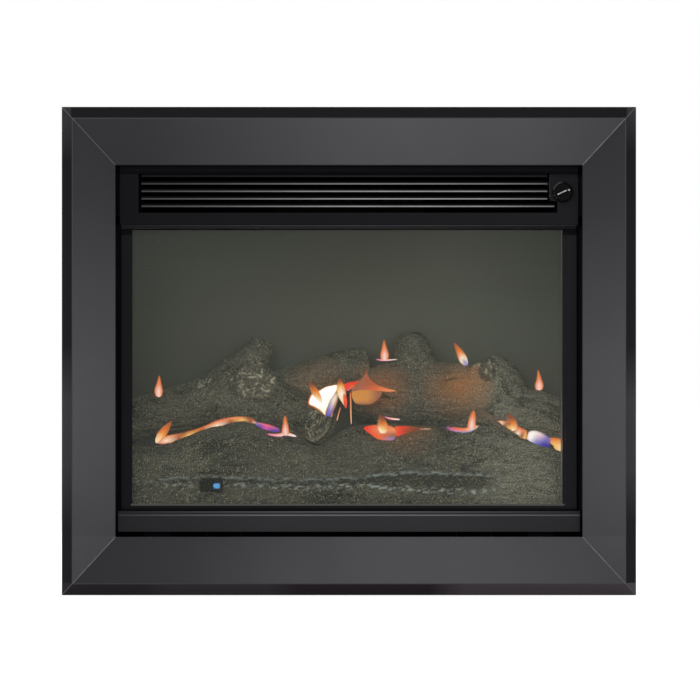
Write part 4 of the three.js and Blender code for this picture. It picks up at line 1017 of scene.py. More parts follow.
def makeSeamFinish():
    # bare rubbed metal along the mitres and folds, with a painted highlight that is dimmer at the upper left
    material, tree, shader = newMaterial("rubbed mitre and painted highlight", Specular_IOR_Level=0.3)
    parts = axesOf(tree)
    rub = noiseOn(tree, place(tree), 120.0, 3.0, 0.6)
    rubbed = mixColour(tree, remap(tree, calculate(tree, "SUBTRACT", parts["Z"], parts["X"]), 0.4, 0.5),
                       rampNode(tree, rub, (0.35, coolGrey(84)), (0.65, coolGrey(108))), coolGrey(64))
    onBevel = remap(tree, calculate(tree, "ABSOLUTE", parts["X"]), 0.3295, 0.331)
    coverWith(tree, shader, mixColour(tree, onBevel, rubbed, coolGrey(72)),
              remap(tree, rub, 0.3, 0.7, 0.35, 0.55))
    return material


railFinishes = [
    makeRailFinish(), makeBevelFinish(), makeSeamFinish(),
    # the fold strip between bevel and face: a painted highlight
    paintedSheet("fold painted highlight", paint(70, 69, 74), paint(76, 75, 80), 0.5, contrast=0.1, rubbed=0.1,
                 specular=0.08)]


def makeRail(name, turn, fromLow):
    # made lying along X with its outer edge at the top, cut to its mitres, then turned into place
    low, high = (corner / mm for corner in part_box(name))
    upright = abs(math.sin(turn)) > 0.5
    # the rails meet at the mitre, so each is as long as the whole frame and not as its own shorter node
    axis = 2 if upright else 0
    length = (cadBounds[1][axis] - cadBounds[0][axis]) / mm
    half = length / 2
    width = (high.x - low.x) if upright else (high.z - low.z)
    otherLow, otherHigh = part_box("trim_rail_top" if upright else "trim_rail_left")
    mitreRun = ((otherHigh.z - otherLow.z) if upright else (otherHigh.x - otherLow.x)) / mm
    front, back = low.y, high.y
    sheet, bevel, seam = trimRails["sheet"], trimRails["bevel"], trimRails["seam"]
    fineness, lengths = trimRails["fineness"], trimRails["lengths"]
    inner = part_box("fascia_panel")[0].y / mm - trimRails["setback"]
    slant = bevel * width / (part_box("trim_rail_top")[1].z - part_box("trim_rail_top")[0].z) * mm
    outline = [(0, back), (0, front + bevel), (slant, front), (width, front), (width, inner),
               (width - sheet, inner), (width - sheet, front + sheet), (slant + 0.6, front + sheet),
               (sheet, front + bevel + 0.6), (sheet, back)]
    shape = bmesh.new()
    section = shape.faces.new([shape.verts.new((-half - 1, y, -inward)) for inward, y in outline])
    drawOut(shape, section, (length + 2, 0, 0))
    folds = [e for e in shape.edges if abs(e.verts[0].co.x - e.verts[1].co.x) > length
             and e.verts[0].co.y < front + bevel + 0.1]
    roundOff(shape, folds, trimRails["foldRadius"], 3)
    # each mitre runs from the outer corner to the inner one
    mitres = [(Vector((end * half, 0, 0)), Vector((end * width, 0, -mitreRun)).normalized())
              for end in (1, -1)]
    for corner, normal in mitres:
        cutAcross(shape, corner - normal * trimRails["mitreGap"], normal, fineness, True)
        cutAcross(shape, corner - normal * seam, normal, fineness)
    for i in range(1, lengths):
        cutAcross(shape, ((i / lengths - 0.5) * length, 0, 0), (1, 0, 0), fineness)
    bmesh.ops.recalc_face_normals(shape, faces=shape.faces)
    uv = shape.loops.layers.uv.new("rail")
    for face in shape.faces:
        middle = face.calc_center_median()
        toMitre = min((corner - middle).dot(normal) for corner, normal in mitres)
        outward = face.normal.y < -0.2
        # the coat, bevel, seam and fold strip finishes each carry painted light and shade
        face.material_index = 0
        if -middle.z < slant + 0.2 and (outward or face.normal.z > 0.9):
            face.material_index = 1
        if outward and abs(-middle.z - slant - 0.5) < 0.5:
            face.material_index = 3
        if outward and toMitre < seam:
            face.material_index = 2
        face.smooth = False
        for loop in face.loops:
            along = loop.vert.co.x / length
            loop[uv].uv = (0.5 + (along if fromLow else -along), -loop.vert.co.z / width)
    bmesh.ops.translate(shape, verts=shape.verts, vec=(0, 0, width / 2))
    turnVerts(shape, shape.verts, turn, "Y")
    bmesh.ops.translate(shape, verts=shape.verts, vec=((low.x + high.x) / 2, 0, (low.z + high.z) / 2))
    rail = newPiece("coated_" + name[5:], shape, None, "wall_frame", "graphite_paint", name)
    for finish in railFinishes:
        rail.data.materials.append(finish)


makeRail("trim_rail_top", 0.0, True)
makeRail("trim_rail_bottom", math.pi, False)
makeRail("trim_rail_left", -math.pi / 2, False)
makeRail("trim_rail_right", math.pi / 2, True)
print("frame rails made")


# the log set: moulded ceramic bark over the burner

logSet = {
    "originX": -1.1, "originY": 44.0, "originZ": 26.3,  # the burner's middle on the tray, in mm
    "endX": 272.0, "rearY": 68.4, "footZ": 0.2, "voxel": 1.7, "ringSides": 40, "ringSteps": 44}

# each row is [x, y, z, radius] in mm from the burner's middle, along the heart of the wood
logRows = {
    "left_log": [
        [[-282, 3, 119, 27], [-205, 2, 139, 30], [-145, -2, 149, 40], [-95, -10, 144, 38],
         [-58, -34, 131, 30], [-33, -66, 121, 24]],
        [[-172, 0, 146, 30], [-138, 0, 181, 25], [-111, 2, 208, 18], [-105, 2, 225, 15]],
        [[-116, -14, 172, 26], [-112, -36, 177, 25]]],
    "centre_log": [
        [[8, 0, 160, 30], [50, 0, 158, 40], [105, 0, 154, 44], [160, 2, 152, 40], [200, 4, 146, 30]],
        [[86, 0, 169, 30], [82, 2, 199, 26], [76, 2, 226, 19], [74, 2, 234, 10]]],
    "right_log": [
        [[162, -14, 184, 20], [183, -3, 177, 28], [196, 0, 150, 27]],
        [[176, 0, 136, 34], [228, 2, 127, 36], [292, 4, 103, 36]],
        [[164, -10, 184, 15], [160, -32, 184, 13]]],
    "back_log": [
        [[-130, 2, 147, 25], [-80, 0, 161, 26], [-40, 0, 174, 27], [-6, 0, 186, 27],
         [25, 2, 190, 25]]]}

# the front log's top edge: [x, height above the tray]
frontCrest = [
    [-282, 100], [-228, 98], [-168, 120], [-126, 129], [-106, 126], [-64, 110], [-38, 97], [-6, 115],
    [22, 122], [98, 122], [118, 122], [153, 137], [168, 137], [184, 126], [203, 113], [226, 108],
    [252, 100], [282, 90]]
frontLog = {
    "y": -76.0, "half": 50.0, "sides": 56, "steps": 110, "flatUnder": 0.45, "arched": 0.85,
    "cleftZ": 80.0, "cleftFrom": -244.0, "cleftTo": 186.0, "cleftDepth": 9.0}
# low and high corners of the room for the pilot and of the notch that shows its flame
pilotCutters = [((-180, -110, -30), (-134, -10, 62)), ((-178, -140, 42), (-151, -100, 57))]


def ringedBar(shape, sides, cuts):
    # a round bar along Z, ringed by cuts so that it can bend
    made = addRound(shape, sides, 1, 1, 1)
    lengthwise = {e for v in made for e in v.link_edges if abs(e.verts[0].co.z - e.verts[1].co.z) > 0.5}
    bmesh.ops.subdivide_edges(shape, edges=list(lengthwise), cuts=cuts)


def addStrand(shape, row):
    # a bar laid along the row's smooth line
    ringedBar(shape, logSet["ringSides"], logSet["ringSteps"])
    for vert in shape.verts:
        t = vert.co.z + 0.5
        x, y, z, radius = splineAt(row, t)
        ahead, behind = splineAt(row, t + 0.01), splineAt(row, t - 0.01)
        run = Vector(ahead[:3]) - Vector(behind[:3])
        side = run.cross(Vector((0, 1, 0))).normalized()
        up = side.cross(run).normalized()
        vert.co = Vector((x, y, z)) + (side * vert.co.x + up * vert.co.y) * radius


def addFrontBar(shape):
    # the long log across the front: flat under, arched over, its height following the crest
    ringedBar(shape, frontLog["sides"], frontLog["steps"])
    for vert in shape.verts:
        x, height = splineAt(frontCrest, vert.co.z + 0.5)
        power = frontLog["flatUnder"] if vert.co.y < 0 else frontLog["arched"]
        across, up = (math.copysign(abs(c) ** power, c) for c in vert.co.xy)
        vert.co = Vector((x, frontLog["y"] + across * frontLog["half"], height / 2 * (1 + up)))


def trimmed(shape):
    # off at the firebox's sides, its rear and the tray
    endX, rear = logSet["endX"], logSet["rearY"] - logSet["originY"]
    for point, normal in (((endX, 0, 0), (1, 0, 0)), ((-endX, 0, 0), (-1, 0, 0)), ((0, rear, 0), (0, 1, 0)),
                          ((0, 0, logSet["footZ"]), (0, 0, -1))):
        cutAcross(shape, point, normal, clear=True)


def asObject(name, shape):
    return linkObject(name, meshOf(name, shape))


def dropObject(made):
    mesh = made.data
    bpy.data.objects.remove(made)
    bpy.data.meshes.remove(mesh)


def remeshed(name, strands, cutters):
    # joins the closed bars into one skin of even small faces
    made = asObject(name + " rough", strands)
    tools = []
    for i, (low, high) in enumerate(cutters):
        block = bmesh.new()
        addBox(block, low, high)
        tools.append(asObject("cutter %d" % i, block))
        cutting = made.modifiers.new("cut", "BOOLEAN")
        cutting.operation = "DIFFERENCE"
        cutting.object = tools[-1]
    skin = made.modifiers.new("skin", "REMESH")
    skin.mode = "VOXEL"
    skin.voxel_size = logSet["voxel"]
    mesh = bpy.data.meshes.new_from_object(made.evaluated_get(bpy.context.evaluated_depsgraph_get()))
    mesh.name = name
    dropObject(made)
    for tool in tools:
        dropObject(tool)
    return mesh


def nearestRun(rows, point):
    # which bar a point lies on: distance along it, the way it runs and the way out of it
    best = None
    for n, row in enumerate(rows):
        along = 0.0
        for a, b in zip(row, row[1:]):
            start, end = Vector(a[:3]), Vector(b[:3])
            run = end - start
            t = min(1.0, max(0.0, (point - start).dot(run) / run.length_squared))
            out = point - (start + run * t)
            gap = out.length - (a[3] + (b[3] - a[3]) * t)
            if best is None or gap < best[0]:
                best = (gap, n, along + run.length * t, run.normalized(), out)
            along += run.length
    return best[1:]


def barkHeight(along, out, seed):
    # long shallow furrows with a finer grain in them, in mm
    spot = Vector((along / 46.0 + seed * 7.3, out.y / 11.0, out.z / 11.0))
    spot.z += noise.noise(Vector((along / 90.0, out.z / 40.0, seed))) * 1.6
    broad = noise.noise(Vector((along / 70.0, out.y / 30.0, out.z / 30.0 + seed)))
    furrow = 1.0 - abs(noise.noise(spot)) * 2.2
    grain = noise.noise(Vector((spot.x * 2.6, spot.y * 3.4, spot.z * 3.4)))
    crumbs = noise.noise(Vector((along, out.y, out.z)) * 0.34)
    return broad * 2.6 - max(0.0, furrow) ** 3 * 1.5 + grain * 0.75 + crumbs * 0.35


def finishLog(name, mesh, rows, marks, cleft):
    # presses the bark, the rings and the cleft into the skin, and stores how pale and frayed it is, and how
    # much painted shade its furrows, ring grooves and cleft take, with soot on a sooty end
    seed = len(name) * 1.7
    origin = Vector((logSet["originX"], logSet["originY"], logSet["originZ"]))
    moved, stored = [], {"pale": [], "frayed": [], "recessShadeAndSoot": []}
    for vert in mesh.vertices:
        point, normal = vert.co.copy(), vert.normal
        strand, along, run, out = nearestRun(rows, point)
        across = Vector((0, 1, 0)).cross(run)
        local = Vector((0, out.y, out.dot(across.normalized()) if across.length > 0.1 else out.z))
        lift = barkHeight(along + strand * 300, local, seed)
        light, deep = 0.0, smoothStep(0.0, -2.2, lift)
        for mark in marks:
            offset = point - Vector(mark["centre"])
            axis = Vector(mark["axis"]).normalized()
            if offset.length > mark["radius"] * 2.2:
                continue
            flat = offset - axis * offset.dot(axis)
            flat.x /= mark["flatten"]
            radius = flat.length + noise.noise(point / 14.0) * mark["wobble"]
            edge = smoothStep(mark["radius"], mark["radius"] * 0.86, flat.length)
            facing = smoothStep(0.25, 0.7, normal.dot(axis))
            wave = math.sin(2 * math.pi * radius / mark["spacing"])
            broken = smoothStep(-0.25, 0.25, noise.noise(point / 7.0 + Vector((3, 1, seed))))
            light = max(light, edge * facing * smoothStep(0.35, 0.95, wave) * broken * mark["pale"])
            lift = lift * (1 - 0.6 * edge * facing) + edge * facing * wave * 0.5
            if "crescent" in mark:
                # a bright rim round the lower right, a painted highlight
                turned = smoothStep(0.1, 0.8, (flat.x * 0.35 - flat.z * 0.94) / max(flat.length, 1.0))
                worn = math.exp(-((flat.length - mark["radius"] * 0.84) / 2.6) ** 2) * (0.75 + 0.25 * wave)
                light = max(light, worn * turned * mark["crescent"])
            if "sooty" in mark:
                deep = max(deep, edge * facing * mark["sooty"])
                for x, z in mark["spots"]:
                    light = max(light, math.exp(-((point.x - x) / 1.4) ** 2 - ((point.z - z) / 3.0) ** 2))
            # a groove round each mark, with painted shade in it
            rim = math.exp(-((flat.length - mark["radius"]) / 2.2) ** 2)
            deep = max(deep, rim * 0.8)
            lift -= rim * 1.4
        strokes = 0.0
        if cleft:
            lift, strokes, deep = cutCleft(cleft, point, normal, lift, deep)
        moved.append((point + normal * lift + origin) * mm)
        for values, value in zip(stored.values(), (light, strokes, deep)):
            values.append(value)
    mesh.vertices.foreach_set("co", [c for spot in moved for c in spot])
    for label, values in stored.items():
        mesh.attributes.new(label, "FLOAT", "POINT").data.foreach_set("value", values)
    mesh.update()


def cutCleft(cleft, point, normal, lift, deep):
    # a long split in the front of the log, wider and lens shaped to the right, with frayed pale rims and
    # painted shade inside
    if normal.y > -0.2 or not cleft["cleftFrom"] - 20 < point.x < cleft["cleftTo"] + 20:
        return lift, 0.0, deep
    t = (point.x - cleft["cleftFrom"]) / (cleft["cleftTo"] - cleft["cleftFrom"])
    taper = smoothStep(-0.04, 0.08, t) * smoothStep(1.04, 0.93, t)
    wander = 1.5 * math.sin(point.x / 37.0) + noise.noise(Vector((point.x / 16.0, 1, 2))) * 2.0
    middle = cleft["cleftZ"] - logSet["originZ"] + wander
    half = (3.2 + 5.4 * smoothStep(0.52, 0.78, t)) * taper + 0.3
    offset = point.z - middle
    inside = smoothStep(half * 1.25, half * 0.6, abs(offset)) * taper
    lift = lift * (1 - 0.7 * inside) - inside * cleft["cleftDepth"] * (0.55 + 0.45 * smoothStep(0.5, 0.8, t))
    fray = noise.noise(Vector((point.x / 7.0 + offset * 0.10, offset / 1.9, 4.0)))
    fine = noise.noise(Vector((point.x / 3.0, offset / 1.5, 9.0)))
    upper = math.exp(-((offset - half * 1.1) / 1.7) ** 2)
    lower = math.exp(-((offset + half * 1.15) / 3.0) ** 2)
    strokes = max(upper * smoothStep(-0.15, 0.3, fray + 0.15),
                  lower * smoothStep(0.02, 0.42, fray + 0.4 * fine))
    return lift, strokes * taper * (0.6 + 0.4 * smoothStep(0.4, 0.7, t)), max(deep, inside)


# rings on knots and cut ends: middle and radius in mm, the way they face, how flattened they are, how far
# apart and how wavy the rings run and how pale they are; a sooty end has pale spots at [x, z]
logMarks = {
    "left_log": [
        {"centre": (-112, -58, 178), "axis": (0.05, -1, 0.1), "radius": 24, "flatten": 1.3, "spacing": 6.0,
         "wobble": 13, "pale": 0.9},
        {"centre": (-30, -90, 120), "axis": (0.55, -0.8, -0.2), "radius": 26, "flatten": 1.15, "spacing": 4,
         "wobble": 10.5, "pale": 1.0, "crescent": 0.9},
        {"centre": (-177, -18, 172), "axis": (-0.2, -0.8, 0.6), "radius": 9, "flatten": 1.6, "spacing": 3.2,
         "wobble": 3, "pale": 0.9},
        {"centre": (-106, 2, 228), "axis": (0.2, -0.5, 0.8), "radius": 13, "flatten": 1.0, "spacing": 4.0,
         "wobble": 6, "pale": 0.8}],
    "right_log": [
        {"centre": (168, -40, 188), "axis": (0.0, -1, 0.1), "radius": 13, "flatten": 0.9, "spacing": 2.6,
         "wobble": 6, "pale": 0.0, "sooty": 1.0,
         "spots": [(170.6, 197.8), (173.4, 192.5), (167.4, 186.8), (173.4, 181.1), (158.6, 195.4)]}]}


def makeLog(name, strands, rows, cutters=(), cleft=None):
    trimmed(strands)
    mesh = remeshed(name, strands, cutters)
    finishLog(name, mesh, rows, logMarks.get(name, []), cleft)
    shadeSmooth(takeMesh("bark_" + name, mesh, finishes["log_ceramic"], "casing", "log_ceramic", name))
    print("  ", name, len(mesh.polygons), "faces")


def makeLogs():
    for name, rows in logRows.items():
        strands = bmesh.new()
        for row in rows:
            single = bmesh.new()
            addStrand(single, row)
            part = meshOf("strand", single)
            strands.from_mesh(part)
            bpy.data.meshes.remove(part)
        makeLog(name, strands, rows)
    bar = bmesh.new()
    addFrontBar(bar)
    heart = [[x, frontLog["y"], height / 2, frontLog["half"]] for x, height in frontCrest[::3]]
    makeLog("front_log", bar, [heart], pilotCutters, frontLog)


makeLogs()
print("logs made")


# the flames: thin closed tongues of light that stand on the logs

flamePalette = {
    "white": (255, 252, 244), "cream": (255, 232, 198), "gold": (250, 198, 112), "apricot": (240, 144, 90),
    "orange": (220, 116, 42), "coral": (232, 106, 56), "red": (232, 56, 36), "rust": (140, 66, 30),
    "ember": (88, 48, 38), "clay": (150, 94, 70), "copper": (174, 84, 46), "tan": (206, 136, 64),
    "rose": (230, 104, 120), "pink": (252, 214, 208), "magenta": (214, 76, 176), "violet": (112, 64, 176),
    "indigo": (58, 52, 164), "lilac": (144, 134, 190), "sky": (98, 164, 214), "blue": (36, 104, 180)}

# colours from foot to tip for a tongue's low side, its heart and its high side, how solid its foot and tip
# are, and 1 where its edge is soft
glowRamps = {
    "candle": ["apricot orange rust", "pink pink apricot orange", "apricot orange rust", 0.85, 0.35, 1],
    "slanted": ["cream orange rust", "cream gold orange rust", "cream orange rust", 0.4, 0.1, 1],
    "blueFooted": ["indigo cream orange rust", "lilac lilac cream orange rust",
                   "lilac cream orange rust", 0.15, 0.1, 1],
    "ribbon": ["apricot coral rust rust coral rust apricot", "rose" + " cream rust gold rust" * 2 + " cream",
               "coral apricot rust orange coral apricot rust coral", 0.5, 0.7, 1],
    "violet": ["violet magenta rose", "lilac indigo magenta indigo violet",
               "lilac rose rose violet", 0.4, 0.3, 1],
    "pinkFoot": ["magenta rose pink", "rose pink white", "magenta apricot pink", 0.6, 0.6, 1],
    "white": ["gold white white gold", "cream white white white", "gold gold white white", 1.0, 1.0, 0],
    "rim": ["rust orange rust", "tan gold tan", "clay tan tan", 0.7, 0.5, 0],
    "redBand": ["red red red", "lilac coral red red", "clay clay red clay", 0.7, 0.7, 0],
    "golden": ["white cream tan clay ember", "white gold orange rust ember",
               "cream apricot orange rust ember", 0.5, 0.1, 1],
    "goldenRight": ["coral cream gold orange ember", "red gold white gold rust ember",
                    "red coral apricot orange ember", 0.8, 0.1, 1],
    "red": ["red red", "red coral red", "red red rust", 0.5, 0.1, 1],
    "lavender": ["indigo lilac pink", "indigo lilac cream cream", "violet clay clay", 0.5, 0.1, 1],
    "tent": ["clay clay", "coral copper copper clay", "apricot copper clay", 0.95, 0.25, 0],
    "underglow": ["clay tan tan tan", "clay tan tan tan", "ember clay clay", 0.15, 0.95, 0],
    "lens": ["red red red", "coral coral apricot coral", "lilac clay apricot coral", 0.9, 0.95, 0],
    "embers": ["red red rust clay", "coral red rust ember cream", "coral red rust clay", 0.8, 0.5, 0],
    "streak": ["apricot clay", "cream apricot coral", "apricot clay", 0.9, 0.3, 0],
    "blueEnd": ["rose indigo indigo indigo", "pink white lilac indigo indigo",
                "pink white pink lilac violet", 0.7, 0.4, 1],
    "violetToPink": ["indigo lilac lilac cream", "indigo rose apricot cream cream",
                     "indigo coral apricot tan", 0.2, 0.2, 1],
    "orangeEnd": ["orange orange gold", "orange gold cream", "orange orange gold", 0.8, 1.0, 1],
    "pilot": ["blue sky", "sky sky blue", "blue sky", 1.0, 1.0, 1]}


glowStrength = {"white": 1.35}
usualGlowStrength = 1.1


def makeFlameGlow(name, low, middle, high, foot, tip, soft):
    # light whose colours are read from the tongue's own map: u runs across it, v along it
    material, tree, shader = newMaterial(
        "flame " + name, Specular_IOR_Level=0.0, Roughness=1.0, Base_Color=(0, 0, 0, 1),
        Emission_Strength=glowStrength.get(name, usualGlowStrength))
    uv = axesOf(tree, addNode(tree, "ShaderNodeUVMap", uv_map="tongue").outputs["UV"])
    across, along = uv["X"], uv["Y"]
    lowGlow, middleGlow, highGlow = [
        rampNode(tree, along, *evenStops([paint(*flamePalette[word]) for word in words.split()]))
        for words in (low, middle, high)]
    lower = mixColour(tree, remap(tree, across, 0.12, 0.5), lowGlow, middleGlow)
    setInput(tree, shader.inputs["Emission Color"],
             mixColour(tree, remap(tree, across, 0.5, 0.88), lower, highGlow))
    fade = rampNode(tree, along, *[(at, (a, a, a)) for at, a in (
        (0.0, foot), (0.15, 1.0), (0.75, 0.95), (1.0, tip))])
    if soft:
        side = calculate(tree, "ABSOLUTE", calculate(tree, "SUBTRACT", across, 0.5))
        edge = remap(tree, side, 0.5, 0.30)
        edge.node.interpolation_type = "SMOOTHSTEP"
        fade = times(tree, fade, edge, True)
    setInput(tree, shader.inputs["Alpha"], fade)
    return material


flameGlows = {name: makeFlameGlow(name, *ramps) for name, ramps in glowRamps.items()}

# each flame's line is [x, z, half width] in mm, from its foot to its tip; y is where it stands if no log
# is nearer, and its glow is one of those above
flames = [
    ("left_candle", "candle", 44, [
        [-230.8, 181.5, 3.6], [-231.2, 189, 5.7], [-230.6, 198, 3.5], [-230.4, 208.5, 0.7]]),
    ("rear_candle", "candle", 40, [[43.1, 226, 4.6], [43.3, 233, 5.9], [42.9, 241, 3.7], [42.5, 252, 0.7]]),
    ("rear_candle_foot", "pinkFoot", 42, [[32.4, 227.4, 0.5], [42.7, 226.2, 1.2], [58.7, 227.4, 0.5]]),
    ("right_candle", "candle", 40, [
        [231, 189.6, 4.4], [231.2, 196, 5.9], [231, 204, 3.5], [229.8, 215.5, 0.7]]),
    ("slanted_left", "slanted", -36, [
        [-233.2, 126.5, 2], [-227.5, 134, 5.9], [-222, 142, 5.4], [-213.1, 154, 1]]),
    ("slanted_right", "blueFooted", 30, [
        [143.4, 219.5, 2.2], [139.4, 226, 5.4], [135.4, 234, 5.2], [127, 249, 0.8]]),
    ("long_ribbon", "ribbon", -40, [
        [-231.4, 126, 1.7], [-220.5, 129.5, 6.1], [-204.5, 131.5, 7.4], [-192.6, 136, 6.1],
        [-177.6, 142, 3.7], [-158.7, 147.5, 7.1], [-142.7, 152, 6.3], [-128.8, 154.4, 5],
        [-118.8, 152.6, 5.4], [-110.8, 150, 3.7]]),
    ("violet_ribbon", "violet", -42, [
        [-113.8, 150.5, 1.9], [-104.8, 146, 5.5], [-94.9, 142.5, 6.5], [-82.9, 139.5, 4.1]]),
    ("violet_foot", "pinkFoot", -44, [
        [-98.8, 137.6, 1], [-86.9, 136, 2.2], [-74.9, 136.4, 3.6], [-63, 134.6, 1]]),
    ("front_candle", "candle", -44, [
        [-76.5, 136, 5.8], [-76.5, 143, 4.9], [-76.7, 151, 3.5], [-77.3, 160.5, 1.5]]),
    ("pink_streak", "pinkFoot", -20, [[42.7, 158, 0.6], [51.7, 155.5, 1.5], [61.7, 154.8, 0.9]]),
    ("middle_ribbon", "violetToPink", -42, [
        [115.5, 144.5, 2.4], [125.5, 143, 3.2], [139.4, 142, 3.4], [148.4, 144.5, 4], [156.4, 147.5, 1]]),
    ("middle_candle", "candle", -43, [
        [147.4, 143.5, 6], [147.8, 151, 5.4], [149, 159, 4.4], [150, 166.5, 2.2]]),
    ("right_ribbon", "ribbon", -42, [
        [179.5, 153.5, 1.4], [189.5, 147.2, 6.2], [201.3, 139.4, 8.8], [211.2, 134.4, 8.6],
        [217.2, 133.0, 5.0]]),
    ("right_tip", "golden", -43, [
        [198.3, 140, 5.2], [197.0, 147, 7.2], [195.0, 154, 5.6], [191.2, 163.5, 1.8]]),
    ("blue_block", "blueEnd", -42, [
        [213.6, 134.0, 7.0], [221.2, 131.5, 12.0], [231.2, 126.8, 12.6], [241.6, 122.5, 10.5]]),
    ("orange_end", "orangeEnd", -42, [
        [239.5, 129.0, 5.0], [245.6, 126.0, 9.0], [252.6, 121.6, 13.5], [257.1, 119.5, 15.0]]),
    ("pilot_flame", "pilot", -66, [[-163.3, 75.2, 3.2], [-159.1, 75.2, 3.9], [-155.1, 75.2, 3.2]]),
    ("gold_left", "golden", -36, [
        [-32.8, 174.7, 1.9], [-37, 181.9, 4.1], [-41.6, 189.1, 4.8], [-45.2, 196.2, 3.3],
        [-47.1, 203.4, 0.7]]),
    ("gold_right", "goldenRight", -37, [
        [-5, 170.5, 0.7], [-6.4, 177.7, 3.6], [-8.6, 186.1, 6.2], [-10, 193.8, 5.7],
        [-10.9, 199.8, 3.3], [-11.9, 206.4, 0.8]]),
    ("red_heart", "red", -38, [
        [-3.8, 168.1, 0.7], [-4.2, 175.3, 2.5], [-5, 181.9, 2.3], [-6.9, 186.5, 0.6]]),
    ("lavender_foot", "lavender", -34, [
        [-25.5, 157.9, 3.6], [-22.7, 165.7, 4.8], [-18.4, 176.5, 5.3], [-13.8, 186.7, 2.6]]),
    ("streak_upright", "streak", -36, [
        [2.8, 148.6, 0.5], [2.3, 164.5, 0.9], [2, 178.9, 1.0], [1.7, 188.9, 0.9]]),
    ("streak_low_left", "streak", -36, [[-21, 157.8, 0.5], [-19.6, 165.7, 0.6], [-16.7, 169.8, 0.5]]),
    ("streak_low_right", "streak", -36, [[-14.5, 153.3, 0.6], [-12.4, 162.1, 0.8], [-10, 170, 0.6]]),
    ("lens_tip", "golden", -46, [
        [41.5, 137.6, 4.0], [40.7, 146, 7.4], [39.3, 153.8, 5.4], [38.3, 162.7, 1.4]]),
    ("lens_right", "embers", -43, [
        [53.3, 138.7, 7.7], [61.1, 139.2, 7.9], [70.6, 141.1, 6.2], [83.8, 143, 2.4], [99.4, 143.8, 0.7]])]

# each sheet of flame is [x, z] around its outline in mm
sheetFlames = [
    ("white_rim", "rim", -31, [
        [-49.5, 173.4], [-46.6, 184.6], [-41.8, 189.1], [-35.2, 190.6], [-26.9, 194.9], [-13.3, 197.1],
        [-14.1, 189.1], [-19.1, 180.6], [-23.4, 171.9], [-26.7, 164.3], [-28.2, 159], [-34.2, 164.3],
        [-42.4, 169.1]]),
    ("white_heart", "white", -33, [
        [-47.9, 174.2], [-45.4, 183], [-41.1, 187], [-37, 188], [-29.1, 193.1], [-21.5, 195.2],
        [-14.1, 196], [-15.5, 189.7], [-20.6, 181.2], [-24.9, 172.5], [-28.3, 164.9], [-29.1, 160.7],
        [-34.3, 166.3], [-41.8, 170.8]]),
    ("red_band", "redBand", -10, [
        [-7.7, 195.2], [-2.3, 199], [4.8, 200.2], [13.9, 201.9], [20.4, 201.4], [19.2, 196.8],
        [10.8, 194.9], [2.5, 191.6], [-1.1, 188.9], [-4.7, 192]]),
    ("tent_sheet", "tent", -12, [
        [2.5, 188.7], [7.6, 196.5], [15.3, 204.1], [19.6, 210.1], [21.2, 216.9], [22.3, 209.3],
        [26.4, 202.5], [34.9, 196.5], [46, 192.2], [56.8, 189.4], [47.8, 188.3], [34.9, 189.2],
        [22.1, 190.1], [11.9, 189.9]]),
    ("tent_glow", "underglow", -8, [
        [4.1, 188.7], [12, 189.9], [22.8, 190.1], [34.8, 188.9], [40.1, 187.3], [37.1, 181.3],
        [31.2, 175.5], [22.8, 172.2], [13.2, 172.4], [6.5, 175.8], [3.6, 182.5]]),
    ("lens_left", "lens", -43, [
        [17.6, 144.3], [22.1, 147.3], [33.2, 148.6], [45.5, 148.3], [53.8, 145.3], [56.3, 139.4],
        [53.8, 130.8], [41.8, 130.3], [33.2, 132.3], [24.7, 138.3]])]

raised = {  # mm in front of the log's face, for flames that overlap
    "white_heart": 1.6, "gold_left": 4.5, "gold_right": 3.6, "red_heart": 4.4, "lavender_foot": 3.0,
    "lens_tip": 8.0, "lens_left": 1.5, "tent_sheet": 1.5, "red_band": 3.0, "streak_upright": 3.0}

flameBody = {
    "ringSides": 16, "rings": 22, "thinness": 0.38, "sheet": 0.9,
    "lift": 1.6, "fromY": -88, "reach": 0.14}  # a ray from fromY, in mm, over a reach in metres finds the log


def frontOf(logs, x, z, fallback):
    # how far back a point is, just clear of the nearest log's face
    nearest = fallback
    for log in logs:
        hit, struck = log.ray_cast(
            Vector((x, flameBody["fromY"], z)) * mm, Vector((0, 1, 0)), distance=flameBody["reach"])[:2]
        if hit:
            nearest = min(nearest, struck.y / mm - flameBody["lift"])
    return nearest


def makeFlame(name, glow, y, line, logs):
    # a ball is drawn out along the flame's line and pressed thin from front to back
    shape = bmesh.new()
    bmesh.ops.create_uvsphere(
        shape, u_segments=flameBody["ringSides"], v_segments=flameBody["rings"], radius=1)
    uv = shape.loops.layers.uv.new("tongue")
    middles = [frontOf(logs, x, z, y) for x, z, width in line]
    run, rise = (max(point[k] for point in line) - min(point[k] for point in line) for k in (0, 1))
    if rise > run:
        middles = [min(middles)] * len(middles)
    middles = [m - raised.get(name, 0.0) for m in middles]
    places = {}
    for vert in shape.verts:
        t = 0.5 - math.asin(max(-1, min(1, vert.co.z))) / math.pi
        x, z, width = splineAt(line, t)
        depth = splineAt([[m] for m in middles], t)[0]
        ahead, behind = splineAt(line, t + 0.02), splineAt(line, t - 0.02)
        run = Vector((ahead[0] - behind[0], 0, ahead[1] - behind[1])).normalized()
        side = Vector((-run.z, 0, run.x)) if run.x > 0.5 else Vector((run.z, 0, -run.x))
        ring = Vector((vert.co.x, vert.co.y))
        across = ring.normalized() if ring.length > 1e-6 else Vector((0, 0))
        width = max(width, 0.3) * min(1.0, math.sin(math.pi * min(max(t, 0.0), 1.0)) * 4)
        places[vert] = (0.5 + 0.5 * across.x, t)
        vert.co = (Vector((x, depth, z)) + side * across.x * width
                   + Vector((0, 1, 0)) * across.y * width * flameBody["thinness"])
    for face in shape.faces:
        for loop in face.loops:
            loop[uv].uv = places[loop.vert]
    bmesh.ops.recalc_face_normals(shape, faces=shape.faces)
    shadeSmooth(newPiece("flame_" + name, shape, flameGlows[glow], "casing", "log_ceramic"))


